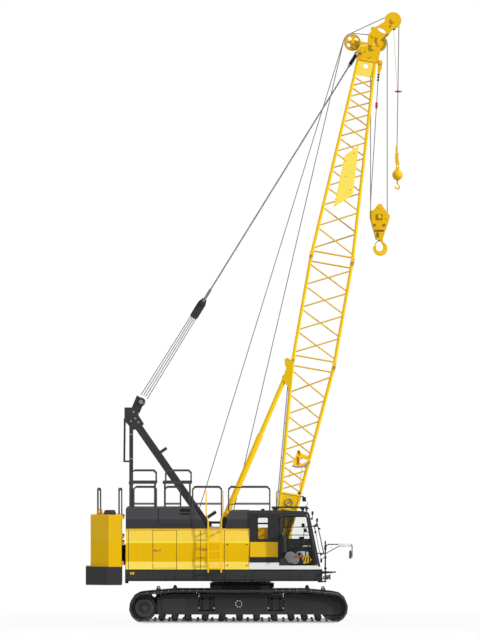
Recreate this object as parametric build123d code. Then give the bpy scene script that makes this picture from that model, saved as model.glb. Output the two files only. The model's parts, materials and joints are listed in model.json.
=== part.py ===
from build123d import *
import math
import os

# Crawler crane with a lattice boom, in millimetres. X points forward from the
# slewing axis, Y to the machine's left and Z up from the ground.

# Tracks and side frames
track_middle = 2075
shoe_width = 900
shoe_count = 66
shoe_thickness = 52
shoe_gap = 9
shoe_notch = 20
lug_height = 50
lug_width = 96
sprocket_x = -2790
idler_x = 2630
wheel_height = 430
top_run_height = 940
top_run_rear = -1900
top_run_front = 1800
roller_radius = 105
roller_places = (-2280, -1910, -1540, -1040, -550, -50, 440, 940, 1430, 1810, 2200)
flange_inner = 70
flange_outer = 190
frame_half_width = 240
frame_bottom = 245
frame_end = 2875
window_places = (-1002, 994)
window_length = 465
window_bottom = 345
window_top = 780

# Carbody, slewing ring and deck
carbody_top = 1060
race_split = 1152
race_gap = 6
race_radius = 840
deck_bottom = 1190
deck_top = 1530
deck_rear = -3338
deck_front = 2327
half_width = 1600

# Machinery housings, one each side of an open middle bay
house_rear = -3320
house_front = 233
house_top = 2700
bay_half_width = 800
wall = 40
crease_low = 1725
crease_high = 2290
left_house_front = 1450
door_rear = -2540
door_front = -1857
door_gap = 6
door_low = 1560
door_high = 2650
louvre_pitch = 45
cooler_grilles = ((-3140, -2640), (-2440, -1957))
cooler_low = 1830
cooler_rows = 10
cooler_depth = 28

# Counterweight
weight_front = -3436
weight_rear = -4330
base_rear = -4470
base_low = 1077
base_top = 1604
slab_seam = 2350
slab_top = 3096

# Gantry
gantry_pulley = (-2890, 6330)
gantry_head = (-3170, 5930)
gantry_foot = (-1000, 2800)
gantry_side = 620
gantry_plate = 110
post_x = -3170

# Boom: s runs up its axis from the foot pin, w towards its front face
boom_foot = (1063, 1700)
boom_angle = 80
base_end = 5820
insert_end = 8870
head_base = 14660
chord_diameter = 92
lacing_diameter = 42
joint_half_depth = 600
foot_half_depth = 105
head_half_depth = 245
boom_half_width = 620
head_half_width = 265
throat_start = 13250

# Boom head, as (s, w) places
main_pulley = (15216, 262)
guide_pulley = (15127, -495)
jib_pulley = (15952, 542)
stay_pin = (14824, -321)
dead_end = (14691, 392)

# Winch drums in the middle bay
rear_drum = (-1293, 2020)
front_drum = (-207, 2030)
drum_radius = 270

# Stay: bridle and pendants
bridle_distance = 3171
bridle_length = 650
rope_diameter = 24
pulley_clearance = 200

# Backstops
backstop_pivot = (-492, 2950)
backstop_pin = (5284, -732)
backstop_side = 620
backstop_diameter = 168

# Cab
cab_inner = 750
cab_rear = 233
cab_wall = 50
cab_floor_top = 1610
cab_roof_low = 3130
cab_roof_top = 3200
pillar_top = (1955, 3130)
pillar_foot = (2290, 1530)
cab_door_rear = 1095


def block(x0, x1, y0, y1, z0, z1):
    """Box between two corners."""
    middle = Pos((x0 + x1) / 2, (y0 + y1) / 2, (z0 + z1) / 2)
    return middle * Box(abs(x1 - x0), abs(y1 - y0), abs(z1 - z0))


def bar(start, end, diameter, sides=0):
    """Straight bar between two points, round or with flat sides."""
    run = Vector(*end) - Vector(*start)
    plane = Plane(origin=start, z_dir=run)
    section = RegularPolygon(diameter / 2, sides) if sides else Circle(diameter / 2)
    return extrude(plane * section, amount=run.length)


def disc(x, z, y0, y1, radius, sides=0):
    """Plate or drum with its axis across the machine, round or with flat sides."""
    section = RegularPolygon(radius, sides) if sides else Circle(radius)
    plane = Plane.XZ.offset(-max(y0, y1))
    return extrude(plane * Pos(x, z) * section, amount=abs(y1 - y0))


def plate(outline, y0, y1, rounding=0):
    """Upright plate from an (x, z) outline, from y0 to y1."""
    face = make_face(Polyline(*outline, close=True))
    if rounding:
        face = fillet(face.vertices(), rounding)
    return extrude(Plane.XZ.offset(-max(y0, y1)) * face, amount=abs(y1 - y0))


def slab(outline, z0, z1):
    """Level plate from an (x, y) outline, from z0 to z1."""
    face = make_face(Polyline(*outline, close=True))
    return extrude(Plane.XY.offset(z0) * face, amount=z1 - z0)


def rail(points, diameter, bend=0):
    """Tube of eight flats through the points, each corner cut across by bend."""
    route = [Vector(*point) for point in points]
    if bend:
        cut = [route[0]]
        for before, corner, after in zip(route, route[1:], route[2:]):
            cut.append(corner + (before - corner).normalized() * bend)
            cut.append(corner + (after - corner).normalized() * bend)
        route = cut + [route[-1]]
    path = Polyline(*route)
    section = Plane(origin=path @ 0, z_dir=path % 0) * RegularPolygon(diameter / 2, 8)
    return sweep(section, path=path, transition=Transition.RIGHT)


def between(s, stations):
    """Straight-line value at s from (s, value) stations."""
    for (s0, v0), (s1, v1) in zip(stations, stations[1:]):
        if s <= s1:
            return v0 + (v1 - v0) * (s - s0) / (s1 - s0)
    return stations[-1][1]


def join(shapes):
    """Fuse a list of overlapping shapes."""
    return shapes[0].fuse(*shapes[1:]) if len(shapes) > 1 else shapes[0]


def save(name, *shapes):
    """Write one sub-part from its solids."""
    solids = [solid for shape in shapes for solid in shape.solids()]
    export_step(solids[0] if len(solids) == 1 else Compound(solids), f"parts/{name}.step")
    print(name, len(solids))


os.makedirs("parts", exist_ok=True)
sides = ((-1, "right"), (1, "left"))

# ---- Tracks: one loop each, with a notch after every shoe and a lug inside it ----


def tangent_angle(point, centre, radius, turn):
    """Angle on a circle where the line from an outside point touches it."""
    across = point[0] - centre[0]
    up = point[1] - centre[1]
    opening = math.acos(radius / math.hypot(across, up))
    return math.atan2(up, across) + turn * opening


def track_runs():
    """Straight and curved runs of the loop's outer face, starting under the sprocket."""
    idler = (idler_x, wheel_height)
    sprocket = (sprocket_x, wheel_height)
    front = (top_run_front, top_run_height)
    rear = (top_run_rear, top_run_height)
    idler_off = tangent_angle(front, idler, wheel_height, -1)
    sprocket_on = tangent_angle(rear, sprocket, wheel_height, 1)

    def on(centre, angle):
        across = centre[0] + wheel_height * math.cos(angle)
        return (across, centre[1] + wheel_height * math.sin(angle))

    return (
        ("line", (sprocket_x, 0), (idler_x, 0)),
        ("arc", idler, (-math.pi / 2, idler_off)),
        ("line", on(idler, idler_off), front),
        ("line", front, rear),
        ("line", rear, on(sprocket, sprocket_on)),
        ("arc", sprocket, (sprocket_on, math.pi * 3 / 2)),
    )


def run_length(run):
    """Length of one run of the loop."""
    kind, first, second = run
    if kind == "line":
        return math.dist(first, second)
    return wheel_height * (second[1] - second[0])


def track_point(runs, distance, inset):
    """Point on the loop at a distance along it, moved inwards by inset."""
    for kind, first, second in runs:
        length = run_length((kind, first, second))
        if distance > length:
            distance -= length
        elif kind == "line":
            along = distance / length
            turn_x = (second[0] - first[0]) / length
            turn_z = (second[1] - first[1]) / length
            across = first[0] + (second[0] - first[0]) * along - turn_z * inset
            return (across, first[1] + (second[1] - first[1]) * along + turn_x * inset)
        else:
            angle = second[0] + distance / wheel_height
            reach = wheel_height - inset
            across = first[0] + reach * math.cos(angle)
            return (across, first[1] + reach * math.sin(angle))


def track_loop(middle):
    """Shoe band with its drive lugs, around y = middle."""
    runs = track_runs()
    pitch = sum(run_length(run) for run in runs) / shoe_count - 1e-6
    outer = []
    inner = []
    for shoe in range(shoe_count):
        start = shoe * pitch
        outer.append(track_point(runs, start + shoe_gap, 0))
        outer.append(track_point(runs, start + pitch - shoe_gap, 0))
        outer.append(track_point(runs, start + pitch, shoe_notch))
        inner.append(track_point(runs, start, shoe_thickness))
    half = shoe_width / 2
    band = plate(outer, middle - half, middle + half)
    band -= plate(inner, middle - half - 1, middle + half + 1)
    lugs = []
    for shoe in range(shoe_count):
        near = Vector(*inner[shoe])
        far = Vector(*inner[(shoe + 1) % shoe_count])
        along = (far - near).normalized()
        inwards = Vector(-along.Y, along.X)
        centre = (near + far) * 0.5
        corners = (
            centre - along * 42 - inwards * 4,
            centre + along * 42 - inwards * 4,
            centre + along * 26 + inwards * lug_height,
            centre - along * 26 + inwards * lug_height,
        )
        outline = [(corner.X, corner.Y) for corner in corners]
        lugs.append(plate(outline, middle - lug_width / 2, middle + lug_width / 2))
    return join([band] + lugs)


pitch_angle = sum(run_length(run) for run in track_runs()) / shoe_count / wheel_height
wheel_radius = (wheel_height - shoe_thickness) * math.cos(pitch_angle / 2) - 2
hub_radius = wheel_radius - lug_height - 14


def flanged_wheel(x, z, middle, hub, reach):
    """Sprocket or idler: two many-sided flanges with a groove between them for the lugs."""
    rims = [
        disc(x, z, middle + side * flange_inner, middle + side * flange_outer, wheel_radius, 26)
        for side in (-1, 1)
    ]
    return join(rims + [disc(x, z, middle - reach, middle + reach, hub, 16)])


def roller_rims(x, z, middle):
    """Lower roller: two rims that run on the shoes, one each side of the lugs."""
    return [
        disc(x, z, middle + side * flange_inner, middle + side * (flange_outer + 10), roller_radius, 16)
        for side in (-1, 1)
    ]


frame_outline = (
    (-2410, frame_bottom),
    (frame_end, frame_bottom),
    (frame_end - 20, 585),
    (1700, 820),
    (-540, 810),
    (-560, 832),
    (-1290, 832),
    (-1300, 740),
    (-2410, 740),
)


def side_frame(middle, side):
    """Track frame: box beam, roller channel, idler fork, axle windows, sprocket arm."""
    low = middle - frame_half_width
    high = middle + frame_half_width
    beam = plate(frame_outline, low, high)
    channel = flange_outer + 10
    beam -= block(-2500, frame_end + 10, middle - channel, middle + channel, 0, 310)
    beam -= block(2160, frame_end + 10, middle - channel, middle + channel, 0, 900)
    for x in window_places:
        half = window_length / 2
        beam -= block(x - half, x + half, low - 1, high + 1, window_bottom, window_top)
    outer = middle + side * frame_half_width
    hole = disc(-75, 550, outer + side, outer - side * 90, 130, 32)
    for turn in range(4):
        spoke = Pos(-75, outer - side * 45, 550) * Rot(0, 45 * turn, 0) * Box(270, 60, 34)
        hole -= spoke
    hole -= disc(-75, 550, outer - side * 15, outer - side * 75, 52, 16)
    beam -= hole
    inner = middle - side * frame_half_width
    arm_outline = ((-2420, 240), (-2300, 240), (-2300, 720), (-2420, 720), (-2840, 560), (-2840, 300))
    arm = plate(arm_outline, inner, inner + side * 38)
    parts = [beam, arm]
    far = side * 1570
    for x, top, hole in ((-2390, 1010, 30), (-1910, 1035, 0), (1900, 1035, 0), (2360, 1000, 30)):
        parts.append(block(x - 34, x + 34, far, inner + side, 600, 650))
        lug = plate(
            (
                (x - 60, 600), (x + 60, 600), (x + 60, top - 60),
                (x + 30, top), (x - 30, top), (x - 60, top - 60),
            ),
            far, far + side * 34,
        )
        if hole:
            lug -= disc(x, top - 60, far - side, far + side * 40, hole)
        parts.append(lug)
    return join(parts)


for side, name in sides:
    middle = side * track_middle
    save(f"track_{name}", track_loop(middle))
    save(f"side_frame_{name}", side_frame(middle, side))
    roller_height = shoe_thickness + roller_radius + 1
    rims = [rim for x in roller_places for rim in roller_rims(x, roller_height, middle)]
    save(f"track_rollers_{name}", *rims)
    sprocket = flanged_wheel(sprocket_x, wheel_height, middle, hub_radius, flange_outer)
    drive = disc(sprocket_x, wheel_height, middle - side * 202, middle + side * 236, 265, 40)
    save(f"drive_sprocket_{name}", join([sprocket, drive]))
    idler = flanged_wheel(idler_x, wheel_height, middle, hub_radius, flange_outer)
    shaft = disc(idler_x, wheel_height, middle - flange_outer - 10, middle + flange_outer + 10, 80, 12)
    save(f"idler_{name}", join([idler, shaft]))

# ---- Carbody with its axle beams and the lower race ----

carbody = [
    slab(
        ((-900, -700), (-560, -1180), (560, -1180), (900, -700),
         (900, 700), (560, 1180), (-560, 1180), (-900, 700)),
        430, carbody_top,
    ),
    plate(((-800, 950), (-900, 1010), (-900, 1120), (940, 1120), (940, 1010), (840, 950)), -760, 760),
    extrude(Plane.XY.offset(carbody_top) * RegularPolygon(race_radius, 48), amount=race_split - carbody_top),
]
for x in window_places:
    reach = track_middle + frame_half_width - 25
    carbody.append(block(x - 200, x + 200, -reach, reach, window_bottom + 35, window_top))
save("carbody", join(carbody))

# ---- Revolving deck with the upper race and the boom foot brackets ----

deck = [
    slab(
        ((deck_rear, -half_width + 20), (deck_front, -half_width + 20), (deck_front, -cab_inner),
         (1480, -cab_inner), (1480, half_width - 20), (deck_rear, half_width - 20)),
        deck_bottom, deck_top,
    ),
    extrude(
        Plane.XY.offset(race_split + race_gap) * RegularPolygon(race_radius + 20, 48),
        amount=deck_bottom - race_split - race_gap,
    ),
    block(weight_front, deck_rear, -700, 700, 1645, 2220) + block(deck_rear, -3240, -700, 700, 1520, 2220),
]
bracket_outline = (
    (boom_foot[0] - 330, deck_top - 10),
    (boom_foot[0] + 330, deck_top - 10),
    (boom_foot[0] + 130, boom_foot[1] + 60),
    (boom_foot[0] + 60, boom_foot[1] + 130),
    (boom_foot[0] - 60, boom_foot[1] + 130),
    (boom_foot[0] - 130, boom_foot[1] + 60),
)
for side in (-1, 1):
    for inner, outer in ((500, 564), (676, 730)):
        deck.append(plate(bracket_outline, side * inner, side * outer))
    deck.append(disc(*boom_foot, side * 470, side * 745, 55, 12))
    pivot_plate = (
        (-680, deck_top - 10),
        (-330, deck_top - 10),
        (-400, 2950),
        (-440, 3030),
        (-544, 3030),
        (-600, 2950),
    )
    for inner, outer in ((510, 530), (710, 730)):
        deck.append(plate(pivot_plate, side * inner, side * outer))
    deck.append(disc(*backstop_pivot, side * 500, side * 740, 38, 12))
save("deck", join(deck))

# ---- Machinery housings: folded side panels, roof, ends and one hinged door ----

side_section = (
    (half_width, deck_top),
    (half_width - 26, crease_low),
    (half_width, crease_high),
    (half_width - 34, house_top),
)
side_face = [(z, y) for y, z in side_section]


def folded_panel(x0, x1, side):
    """Side wall whose middle band leans inwards between two creases."""
    outer = [(side * y, z) for y, z in side_section]
    inner = [(side * (y - wall), z) for y, z in reversed(side_section)]
    face = make_face(Polyline(*outer, *inner, close=True))
    panel = extrude(Plane.YZ.offset(x0) * face, amount=x1 - x0)
    return panel


def slats(x0, x1, z0, faces, depth):
    """Slanted slats, one above the other, in a recess; faces lists the outer face's y at each slat."""
    return [
        Pos((x0 + x1) / 2, face - math.copysign(depth / 2 - 1, face), z0 + louvre_pitch * (row + 0.5))
        * Rot(math.copysign(28, face), 0, 0)
        * Box(x1 - x0 + 8, depth + 12, 7)
        for row, face in enumerate(faces)
    ]


def housing(side, front, seams, hinge_side):
    """Housing over one side of the deck; the door's opening goes right through its wall."""
    inner = side * bay_half_width
    outer = side * (half_width - wall)
    shell = [
        folded_panel(house_rear, front, side),
        block(house_rear, front, inner, outer + side * 20, house_top - wall, house_top),
        block(house_rear, front, inner, inner + side * wall, deck_top, house_top),
        block(house_rear, house_rear + wall, inner, outer + side * 12, deck_top, house_top),
        block(front - wall, front, inner, outer + side * 12, deck_top, house_top),
    ]
    shell = join(shell)
    for x in seams:
        shell -= block(
            x - 5, x + 5, side * (half_width - 33), side * (half_width + 5), deck_top - 1, house_top + 1
        ) & Pos(0, side * 9, 0) * folded_panel(x - 6, x + 6, side)
    if hinge_side:
        shell -= block(
            door_rear, door_front, side * (half_width - 90), side * (half_width + 10), door_low, door_high
        )
    else:
        heights = [cooler_low + louvre_pitch * (row + 0.5) for row in range(cooler_rows)]
        faces = [side * between(z, side_face) for z in heights]
        high = cooler_low + louvre_pitch * cooler_rows
        for x0, x1 in cooler_grilles:
            recess = block(x0, x1, side * (half_width - 60), side * (half_width + 5), cooler_low, high)
            recess &= Pos(0, side * (wall - cooler_depth), 0) * folded_panel(x0, x1, side)
            shell = join([shell - recess] + slats(x0, x1, cooler_low, faces, cooler_depth))
    return shell


right_seams = (-3240, -1175, -484)
left_seams = (-3240, -2540, -1857, -1175, -484, 233)
save("side_housing_right", housing(-1, house_front, right_seams, True))
save("side_housing_left", housing(1, left_house_front, left_seams, False))

door_box = block(
    door_rear + door_gap, door_front - door_gap,
    -half_width - 5, -half_width + 90,
    door_low + door_gap, door_high - door_gap,
)
handle_outline = ((-2455, 2050), (-2365, 2050), (-2365, 2130), (-2455, 2130))
handle = plate(handle_outline, -half_width - 6, -half_width + 40, 18)
save("housing_door", join([folded_panel(door_rear, door_front, -1) & door_box, handle]))
save("engine_block", block(-3150, -1700, -1440, -900, deck_top, 2560))

hood_outline = (
    (house_rear, house_top),
    (house_rear, 3262),
    (house_rear + 40, 3310),
    (-1375, 3310),
    (-985, house_top),
)
vent_x = (-1766, -1475)
vent_slots = ((3100, 1), (3180, 2))  # bottom edge, slats
vent_depth = 34
hoods = []
for side in (-1, 1):
    outer = side * (half_width - 42)
    hood = plate(hood_outline, side * bay_half_width, outer)
    panel = plate(
        ((-2373, 2812), (-1100, 2812), (-1395, 3292), (-2373, 3292)), outer, outer + side * 8
    )
    hood = join([hood, panel])
    for low, rows in vent_slots:
        hood -= block(*vent_x, outer - side * vent_depth, outer + side * 12, low, low + louvre_pitch * rows)
        hood = join([hood] + slats(*vent_x, low, [outer] * rows, vent_depth))
    hoods.append(hood)
save("rear_hoods", *hoods)

cover_outline = ((-478, house_top), (house_front, house_top), (house_front, 3212), (-345, 3212))
cover_sides = (bay_half_width, half_width - 42)
save("front_covers", *[plate(cover_outline, *[side * y for y in cover_sides]) for side in (-1, 1)])

# ---- Counterweight: base, two slabs and the lifting gear ----


def weight_plan(rear, half, corner_x, corner_y):
    """Plan outline with its two rear corners cut off."""
    return (
        (weight_front, -half),
        (corner_x, -half),
        (rear, -corner_y),
        (rear, corner_y),
        (corner_x, half),
        (weight_front, half),
    )


base = slab(weight_plan(base_rear, 1595, -3860, 1150), base_low, base_top)
save("counterweight_base", base)
for name, low, high in (("lower", base_top, slab_seam), ("upper", slab_seam, slab_top)):
    slab_body = slab(weight_plan(weight_rear, 1580, -3810, 1130), low, high)
    slab_body = chamfer(slab_body.faces().sort_by(Axis.Z)[-1].edges(), 10)
    parts = [slab_body]
    for side in (-1, 1):
        for z in (high - 70, low + 110):
            ear = plate(
                ((weight_front - 40, z - 60), (weight_front + 50, z - 60),
                 (weight_front + 70, z), (weight_front + 50, z + 60), (weight_front - 40, z + 60)),
                side * 1470, side * 1510,
            )
            parts.append(ear)
        if name == "upper":
            eye = plate(
                ((-4145, high - 5), (-3985, high - 5), (-4015, high + 150), (-4115, high + 150)),
                side * 900, side * 950, 20,
            )
            parts.append(eye - disc(-4065, high + 82, side * 890, side * 960, 36))
            dome_ring = Pos(-3790, side * 1050, high - 5) * RegularPolygon(190, 16)
            dome = extrude(dome_ring, amount=118, taper=22)
            parts.append(dome)
    save(f"counterweight_{name}", join(parts))

# ---- Gantry: rear posts, sloping legs, head beam and the pulley arm ----

leg_top = (-3000, 5670)
leg_run = Vector(gantry_foot[0] - leg_top[0], gantry_foot[1] - leg_top[1]).normalized()
leg_normal = Vector(-leg_run.Y, leg_run.X)


def leg_strip(start, length, half):
    """Outline of a straight strip that runs down along the leg."""
    first = Vector(*start)
    last = first + leg_run * length
    across = leg_normal * half
    corners = (first + across, last + across, last - across, first - across)
    return [(corner.X, corner.Y) for corner in corners]


leg_length = math.dist(leg_top, gantry_foot)
head_outline = (
    (-3360, 5790),
    (-3120, 5520),
    (-2955, 5560),
    (-2800, 5690),
    (-2960, 5940),
    (-2960, 6170),
    (-3362, 6170),
)
arm_outline = ((-3180, 6110), (-3010, 6520), (-2765, 6390), (-2860, 6170), (-2930, 6010))
gantry = []
for side in (-1, 1):
    inner = side * (gantry_side - gantry_plate / 2)
    outer = side * (gantry_side + gantry_plate / 2)
    gantry.append(plate(leg_strip(leg_top, leg_length, 106), inner, outer))
    gantry.append(disc(*gantry_foot, side * 545, side * 700, 120, 16))
    gantry.append(plate(head_outline, inner, outer))
    gantry.append(block(post_x - 53, post_x + 53, inner, outer, deck_top, 5700))
    foot_plate = ((-1240, deck_top), (-760, deck_top), (-860, 2890), (-1140, 2890))
    gantry.append(plate(foot_plate, side * 690, side * 740))
    for x, z, length in ((-2317, 4890, 200), (-950, 3020, 265)):
        start = (x - 91, side * gantry_side, z - 62)
        end = (x + length * 0.83, side * gantry_side, z + length * 0.56)
        gantry.append(bar(start, end, 84, 8))
    gantry.append(plate(arm_outline, side * 150, side * 172))
    inner = side * 585
    outer = side * 625
    gantry.append(plate(((-3395, 4610), (-3345, 4610), (-3330, 5860), (-3380, 5860)), inner, outer))
    gantry.append(block(-3395, -3200, inner, outer, 4600, 4640))
gantry.append(block(-3330, -2990, -620, 620, 5790, 6140))
gantry.append(block(post_x - 45, post_x + 45, -620, 620, 3420, 3510))
gantry.append(bar((-2350, -620, 4750), (-2350, 620, 4750), 110, 8))
gantry.append(disc(*gantry_pulley, -190, 190, 45, 12))
save("gantry", join(gantry))
shaft_hole = disc(*gantry_pulley, -200, 200, 47, 12)
pulleys = [disc(*gantry_pulley, y - 28, y + 28, 132, 24) - shaft_hole for y in (-90, 0, 90)]
save("gantry_pulleys", *pulleys)
# ---- Winches in the middle bay: drum, flanges and side plates ----

winches = (
    # x, z, drum radius, flange radius, half length
    (*rear_drum, drum_radius, 400, 300),
    (*front_drum, drum_radius, 400, 300),
    (-2600, 1960, 190, 300, 260),
)
drums = []
for x, z, drum, flange, half in winches:
    parts = [disc(x, z, -half, half, drum, 20)]
    for side in (-1, 1):
        parts.append(disc(x, z, side * half, side * (half + 24), flange, 24))
        stand = ((x - 330, deck_top), (x + 330, deck_top), (x + 120, z + 110), (x - 120, z + 110))
        parts.append(plate(stand, side * (half + 24), side * (half + 64)))
    drums.append(join(parts))
save("winch_drums", *drums)

# ---- Ladder and handrails ----

ladder_x = (-950, -576)
ladder_y = -1820
ladder = []
for x, lean in ((ladder_x[0], -55), (ladder_x[1], 55)):
    ladder.append(block(x - 22, x + 22, ladder_y - 14, ladder_y + 14, 1440, 2900))
    ladder.append(
        rail(
            ((x, ladder_y, 2860), (x, ladder_y, 2940), (x + lean, ladder_y, 3100), (x + lean, ladder_y, 3790)),
            34, 60,
        )
    )
    for z, wall_y in ((1500, -half_width + 20), (2640, -half_width + 27)):
        ladder.append(block(x - 16, x + 16, ladder_y, wall_y, z - 20, z + 20))
for step in range(5):
    z = 1560 + 250 * step
    ladder.append(block(ladder_x[0] + 10, ladder_x[1] - 10, ladder_y - 12, ladder_y + 22, z - 14, z + 14))
save("side_ladder", join(ladder))

rail_y = 1500
hoops = (
    # rear x, rear foot z, front x, front foot z, top z, middle rail z
    (-3100, 3310, -2450, 3310, 3885, 3400),
    (-2200, 3310, -1750, 3310, 3885, 3400),
    (-1400, 3310, -570, house_top, 3885, 3400),
    (-366, 3212, 820, cab_roof_top + 20, 3885, 3400),
)
rails = []
for side in (-1, 1):
    y = side * rail_y
    for rear, rear_foot, front, front_foot, top, middle_rail in hoops:
        if side > 0 and front > house_front:
            front_foot = house_top
        hoop = rail(((rear, y, rear_foot), (rear, y, top), (front, y, top), (front, y, front_foot)), 36, 70)
        rails.append(join([hoop, bar((rear, y, middle_rail), (front, y, middle_rail), 28, 8)]))
    for rear, front in ((-3235, -2425), (-2260, -1420)):
        step_bar = block(rear, front, y + side * 24, y + side * 74, 3985, 4055)
        top = rail(
            ((rear + 85, y + side * 49, 4050), (rear + 85, y + side * 49, 4360),
             (front - 25, y + side * 49, 4360), (front - 25, y + side * 49, 4050)),
            36, 70,
        )
        legs = [
            block(x - 22, x + 22, y + side * 24, y + side * 56, 3310, 4000) for x in (rear + 60, front - 60)
        ]
        rails.append(join([step_bar, top] + legs))
    for x in (-4130, -3520):
        y = side * 1180
        rails.append(
            rail(((x, y - 45, slab_top), (x, y - 45, 3840), (x, y + 45, 3840), (x, y + 45, slab_top)), 30, 38)
        )
save("handrails", *rails)

# ---- Boom: three lattice sections and the head, drawn along the boom's own axis ----

lean = math.radians(boom_angle)
boom_plane = Plane(
    origin=(boom_foot[0], 0, boom_foot[1]),
    x_dir=(math.cos(lean), 0, math.sin(lean)),
    z_dir=(0, 1, 0),
)
boom_place = boom_plane.location


def boom_xz(s, w):
    """(x, z) of a place on the boom."""
    point = boom_plane.from_local_coords(Vector(s, w, 0))
    return (point.X, point.Z)


depth_stations = (
    (0, foot_half_depth),
    (base_end, joint_half_depth),
    (insert_end, joint_half_depth),
    (head_base, head_half_depth),
)
width_stations = (
    (0, boom_half_width),
    (insert_end, boom_half_width),
    (head_base, head_half_width),
)


def chord_point(s, front, left):
    """Centre of one chord at s; front and left are -1 or 1."""
    return (s, front * between(s, depth_stations), left * between(s, width_stations))


def shortened(start, end, cut):
    """The same bar with both ends cut back towards its middle."""
    first = Vector(*start)
    last = Vector(*end)
    step = (last - first).normalized() * cut
    return first + step, last - step


def lacing(s0, corner0, s1, corner1, diameter=lacing_diameter):
    """Bracing tube between two chords that ends just inside their walls."""
    first, last = shortened(chord_point(s0, *corner0), chord_point(s1, *corner1), 27)
    return bar(tuple(first), tuple(last), diameter, 6)


def square_frame(s):
    """Four struts round the boom's section at s."""
    corners = ((-1, -1), (1, -1), (1, 1), (-1, 1))
    return [lacing(s, corners[i], s, corners[(i + 1) % 4], 50) for i in range(4)]


def zigzags(nodes, open_from=math.inf):
    """Zigzag bracing on the four faces; opposite faces mirror each other.

    The front face stays open above open_from, where the hoist ropes pass."""
    bars = []
    gap = 30
    for index, (low, high) in enumerate(zip(nodes, nodes[1:])):
        turn = 1 if index % 2 == 0 else -1
        s0 = low + gap
        s1 = high - gap
        bars.append(lacing(s0, (turn, -1), s1, (-turn, -1)))
        bars.append(lacing(s0, (-turn, 1), s1, (turn, 1)))
        if high < open_from:
            bars.append(lacing(s0, (1, turn), s1, (1, -turn)))
        bars.append(lacing(s0, (-1, -turn), s1, (-1, turn)))
    return bars


def chords(s0, s1):
    """The four corner tubes from s0 to s1."""
    return [
        bar(chord_point(s0, front, left), chord_point(s1, front, left), chord_diameter, 10)
        for front in (-1, 1)
        for left in (-1, 1)
    ]


def joint_tongues(s):
    """Lugs on a section's upper end, with their pins."""
    lugs = []
    for front in (-1, 1):
        for left in (-1, 1):
            w = front * between(s, depth_stations)
            y = left * between(s, width_stations)
            lugs.append(Pos(s - 40, w, y) * Box(200, 96, 40))
            lugs.append(Pos(s, w, y) * extrude(RegularPolygon(26, 8), amount=66, both=True))
    return lugs


def joint_forks(s):
    """Cheeks on a section's lower end that take the tongues."""
    cheeks = []
    for front in (-1, 1):
        for left in (-1, 1):
            w = front * between(s, depth_stations)
            y = left * between(s, width_stations)
            for side in (-1, 1):
                cheek = Pos(s + 50, w, y + side * 34) * Box(200, 110, 24)
                cheeks.append(cheek - Pos(s, w, y) * extrude(RegularPolygon(27, 8), amount=70, both=True))
    return cheeks


def even_nodes(first, last, count):
    """Evenly spaced brace nodes."""
    return [first + (last - first) * i / count for i in range(count + 1)]


def tapering_nodes(first, last, count):
    """Brace nodes whose spacing shrinks with the boom's depth."""
    ratio = between(last, depth_stations) / between(first, depth_stations)
    step = ratio ** (1 / (count - 1))
    total = sum(step**i for i in range(count))
    nodes = [first]
    for i in range(count):
        nodes.append(nodes[-1] + (last - first) * step**i / total)
    return nodes


def boom_plate(outline, y0, y1):
    """Plate along the boom from an (s, w) outline."""
    face = make_face(Polyline(*outline, close=True))
    return extrude(Plane.XY.offset(min(y0, y1)) * face, amount=abs(y1 - y0))


def eye_plate(s, w, y0, y1, radius, hole, sides=20):
    """Round plate with a hole, across the boom."""
    ring = RegularPolygon(radius, sides) - RegularPolygon(hole, 12)
    return extrude(Plane.XY.offset(min(y0, y1)) * Pos(s, w) * ring, amount=abs(y1 - y0))


# Base section: foot plates, the closed panel above them, lattice and backstop brackets
panel_low = 1550
panel_high = 2030
base = chords(200, base_end - 70) + zigzags(tapering_nodes(base_end - 260, panel_high + 40, 7)[::-1])
base += square_frame(base_end - 150) + joint_tongues(base_end)
foot_hole = extrude(Pos(0, 0) * RegularPolygon(58, 12), amount=2000, both=True)
for side in (-1, 1):
    foot_plate = boom_plate(
        ((-90, -90), (-90, 90), (60, 150), (620, 190), (620, -190), (60, -150)), side * 570, side * 670
    )
    base.append(foot_plate - foot_hole)
    low = between(panel_low, depth_stations)
    high = between(panel_high, depth_stations)
    base.append(
        boom_plate(
            ((panel_low, -low), (panel_low, low), (panel_high, high), (panel_high, -high)),
            side * 600, side * 640,
        )
    )
    base.append(eye_plate(1770, 0, side * 640, side * 656, 105, 62))
for s in (760, panel_low - 20, panel_high):
    for front in (-1, 1):
        base.append(lacing(s, (front, -1), s, (front, 1), 70))
for front in (-1, 1):
    base.append(lacing(800, (front, -1), panel_low - 70, (front, 1), 50))
bracket = (
    (4950, -520),
    (5780, -575),
    (5860, -760),
    (5800, -835),
    (5640, -800),
    (5560, -740),
    (backstop_pin[0] - 60, backstop_pin[1] - 75),
    (backstop_pin[0] - 150, backstop_pin[1] + 20),
)
for side in (-1, 1):
    for low, high in ((534, 552), (688, 706)):
        bracket_plate = boom_plate(bracket, side * low, side * high)
        base.append(bracket_plate)
    base.append(block(4980, 5060, -590, -540, side * 534, side * 706))
    base.append(block(5560, 5640, -640, -560, side * 534, side * 706))
save("boom_base", boom_place * join(base))

insert = chords(base_end + 90, insert_end - 70) + zigzags(even_nodes(base_end + 200, insert_end - 200, 4))
insert += square_frame(base_end + 150) + square_frame(insert_end - 150)
insert += joint_forks(base_end) + joint_tongues(insert_end)
save("boom_insert", boom_place * join(insert))

top = chords(insert_end + 90, head_base - 8)
top += zigzags(tapering_nodes(insert_end + 200, 14190, 11), throat_start)
top += square_frame(insert_end + 150) + joint_forks(insert_end)
for side in (-1, 1):
    low = between(14230, depth_stations)
    y = between(14440, width_stations)
    top_plate = boom_plate(
        ((14230, -low), (14230, low), (head_base, head_half_depth), (head_base, -head_half_depth)),
        side * (y - 10), side * (y + 14),
    )
    top.append(top_plate - Pos(14520, 0, 0) * extrude(RegularPolygon(73, 20), amount=900, both=True))
save("boom_top", boom_place * join(top))

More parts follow.
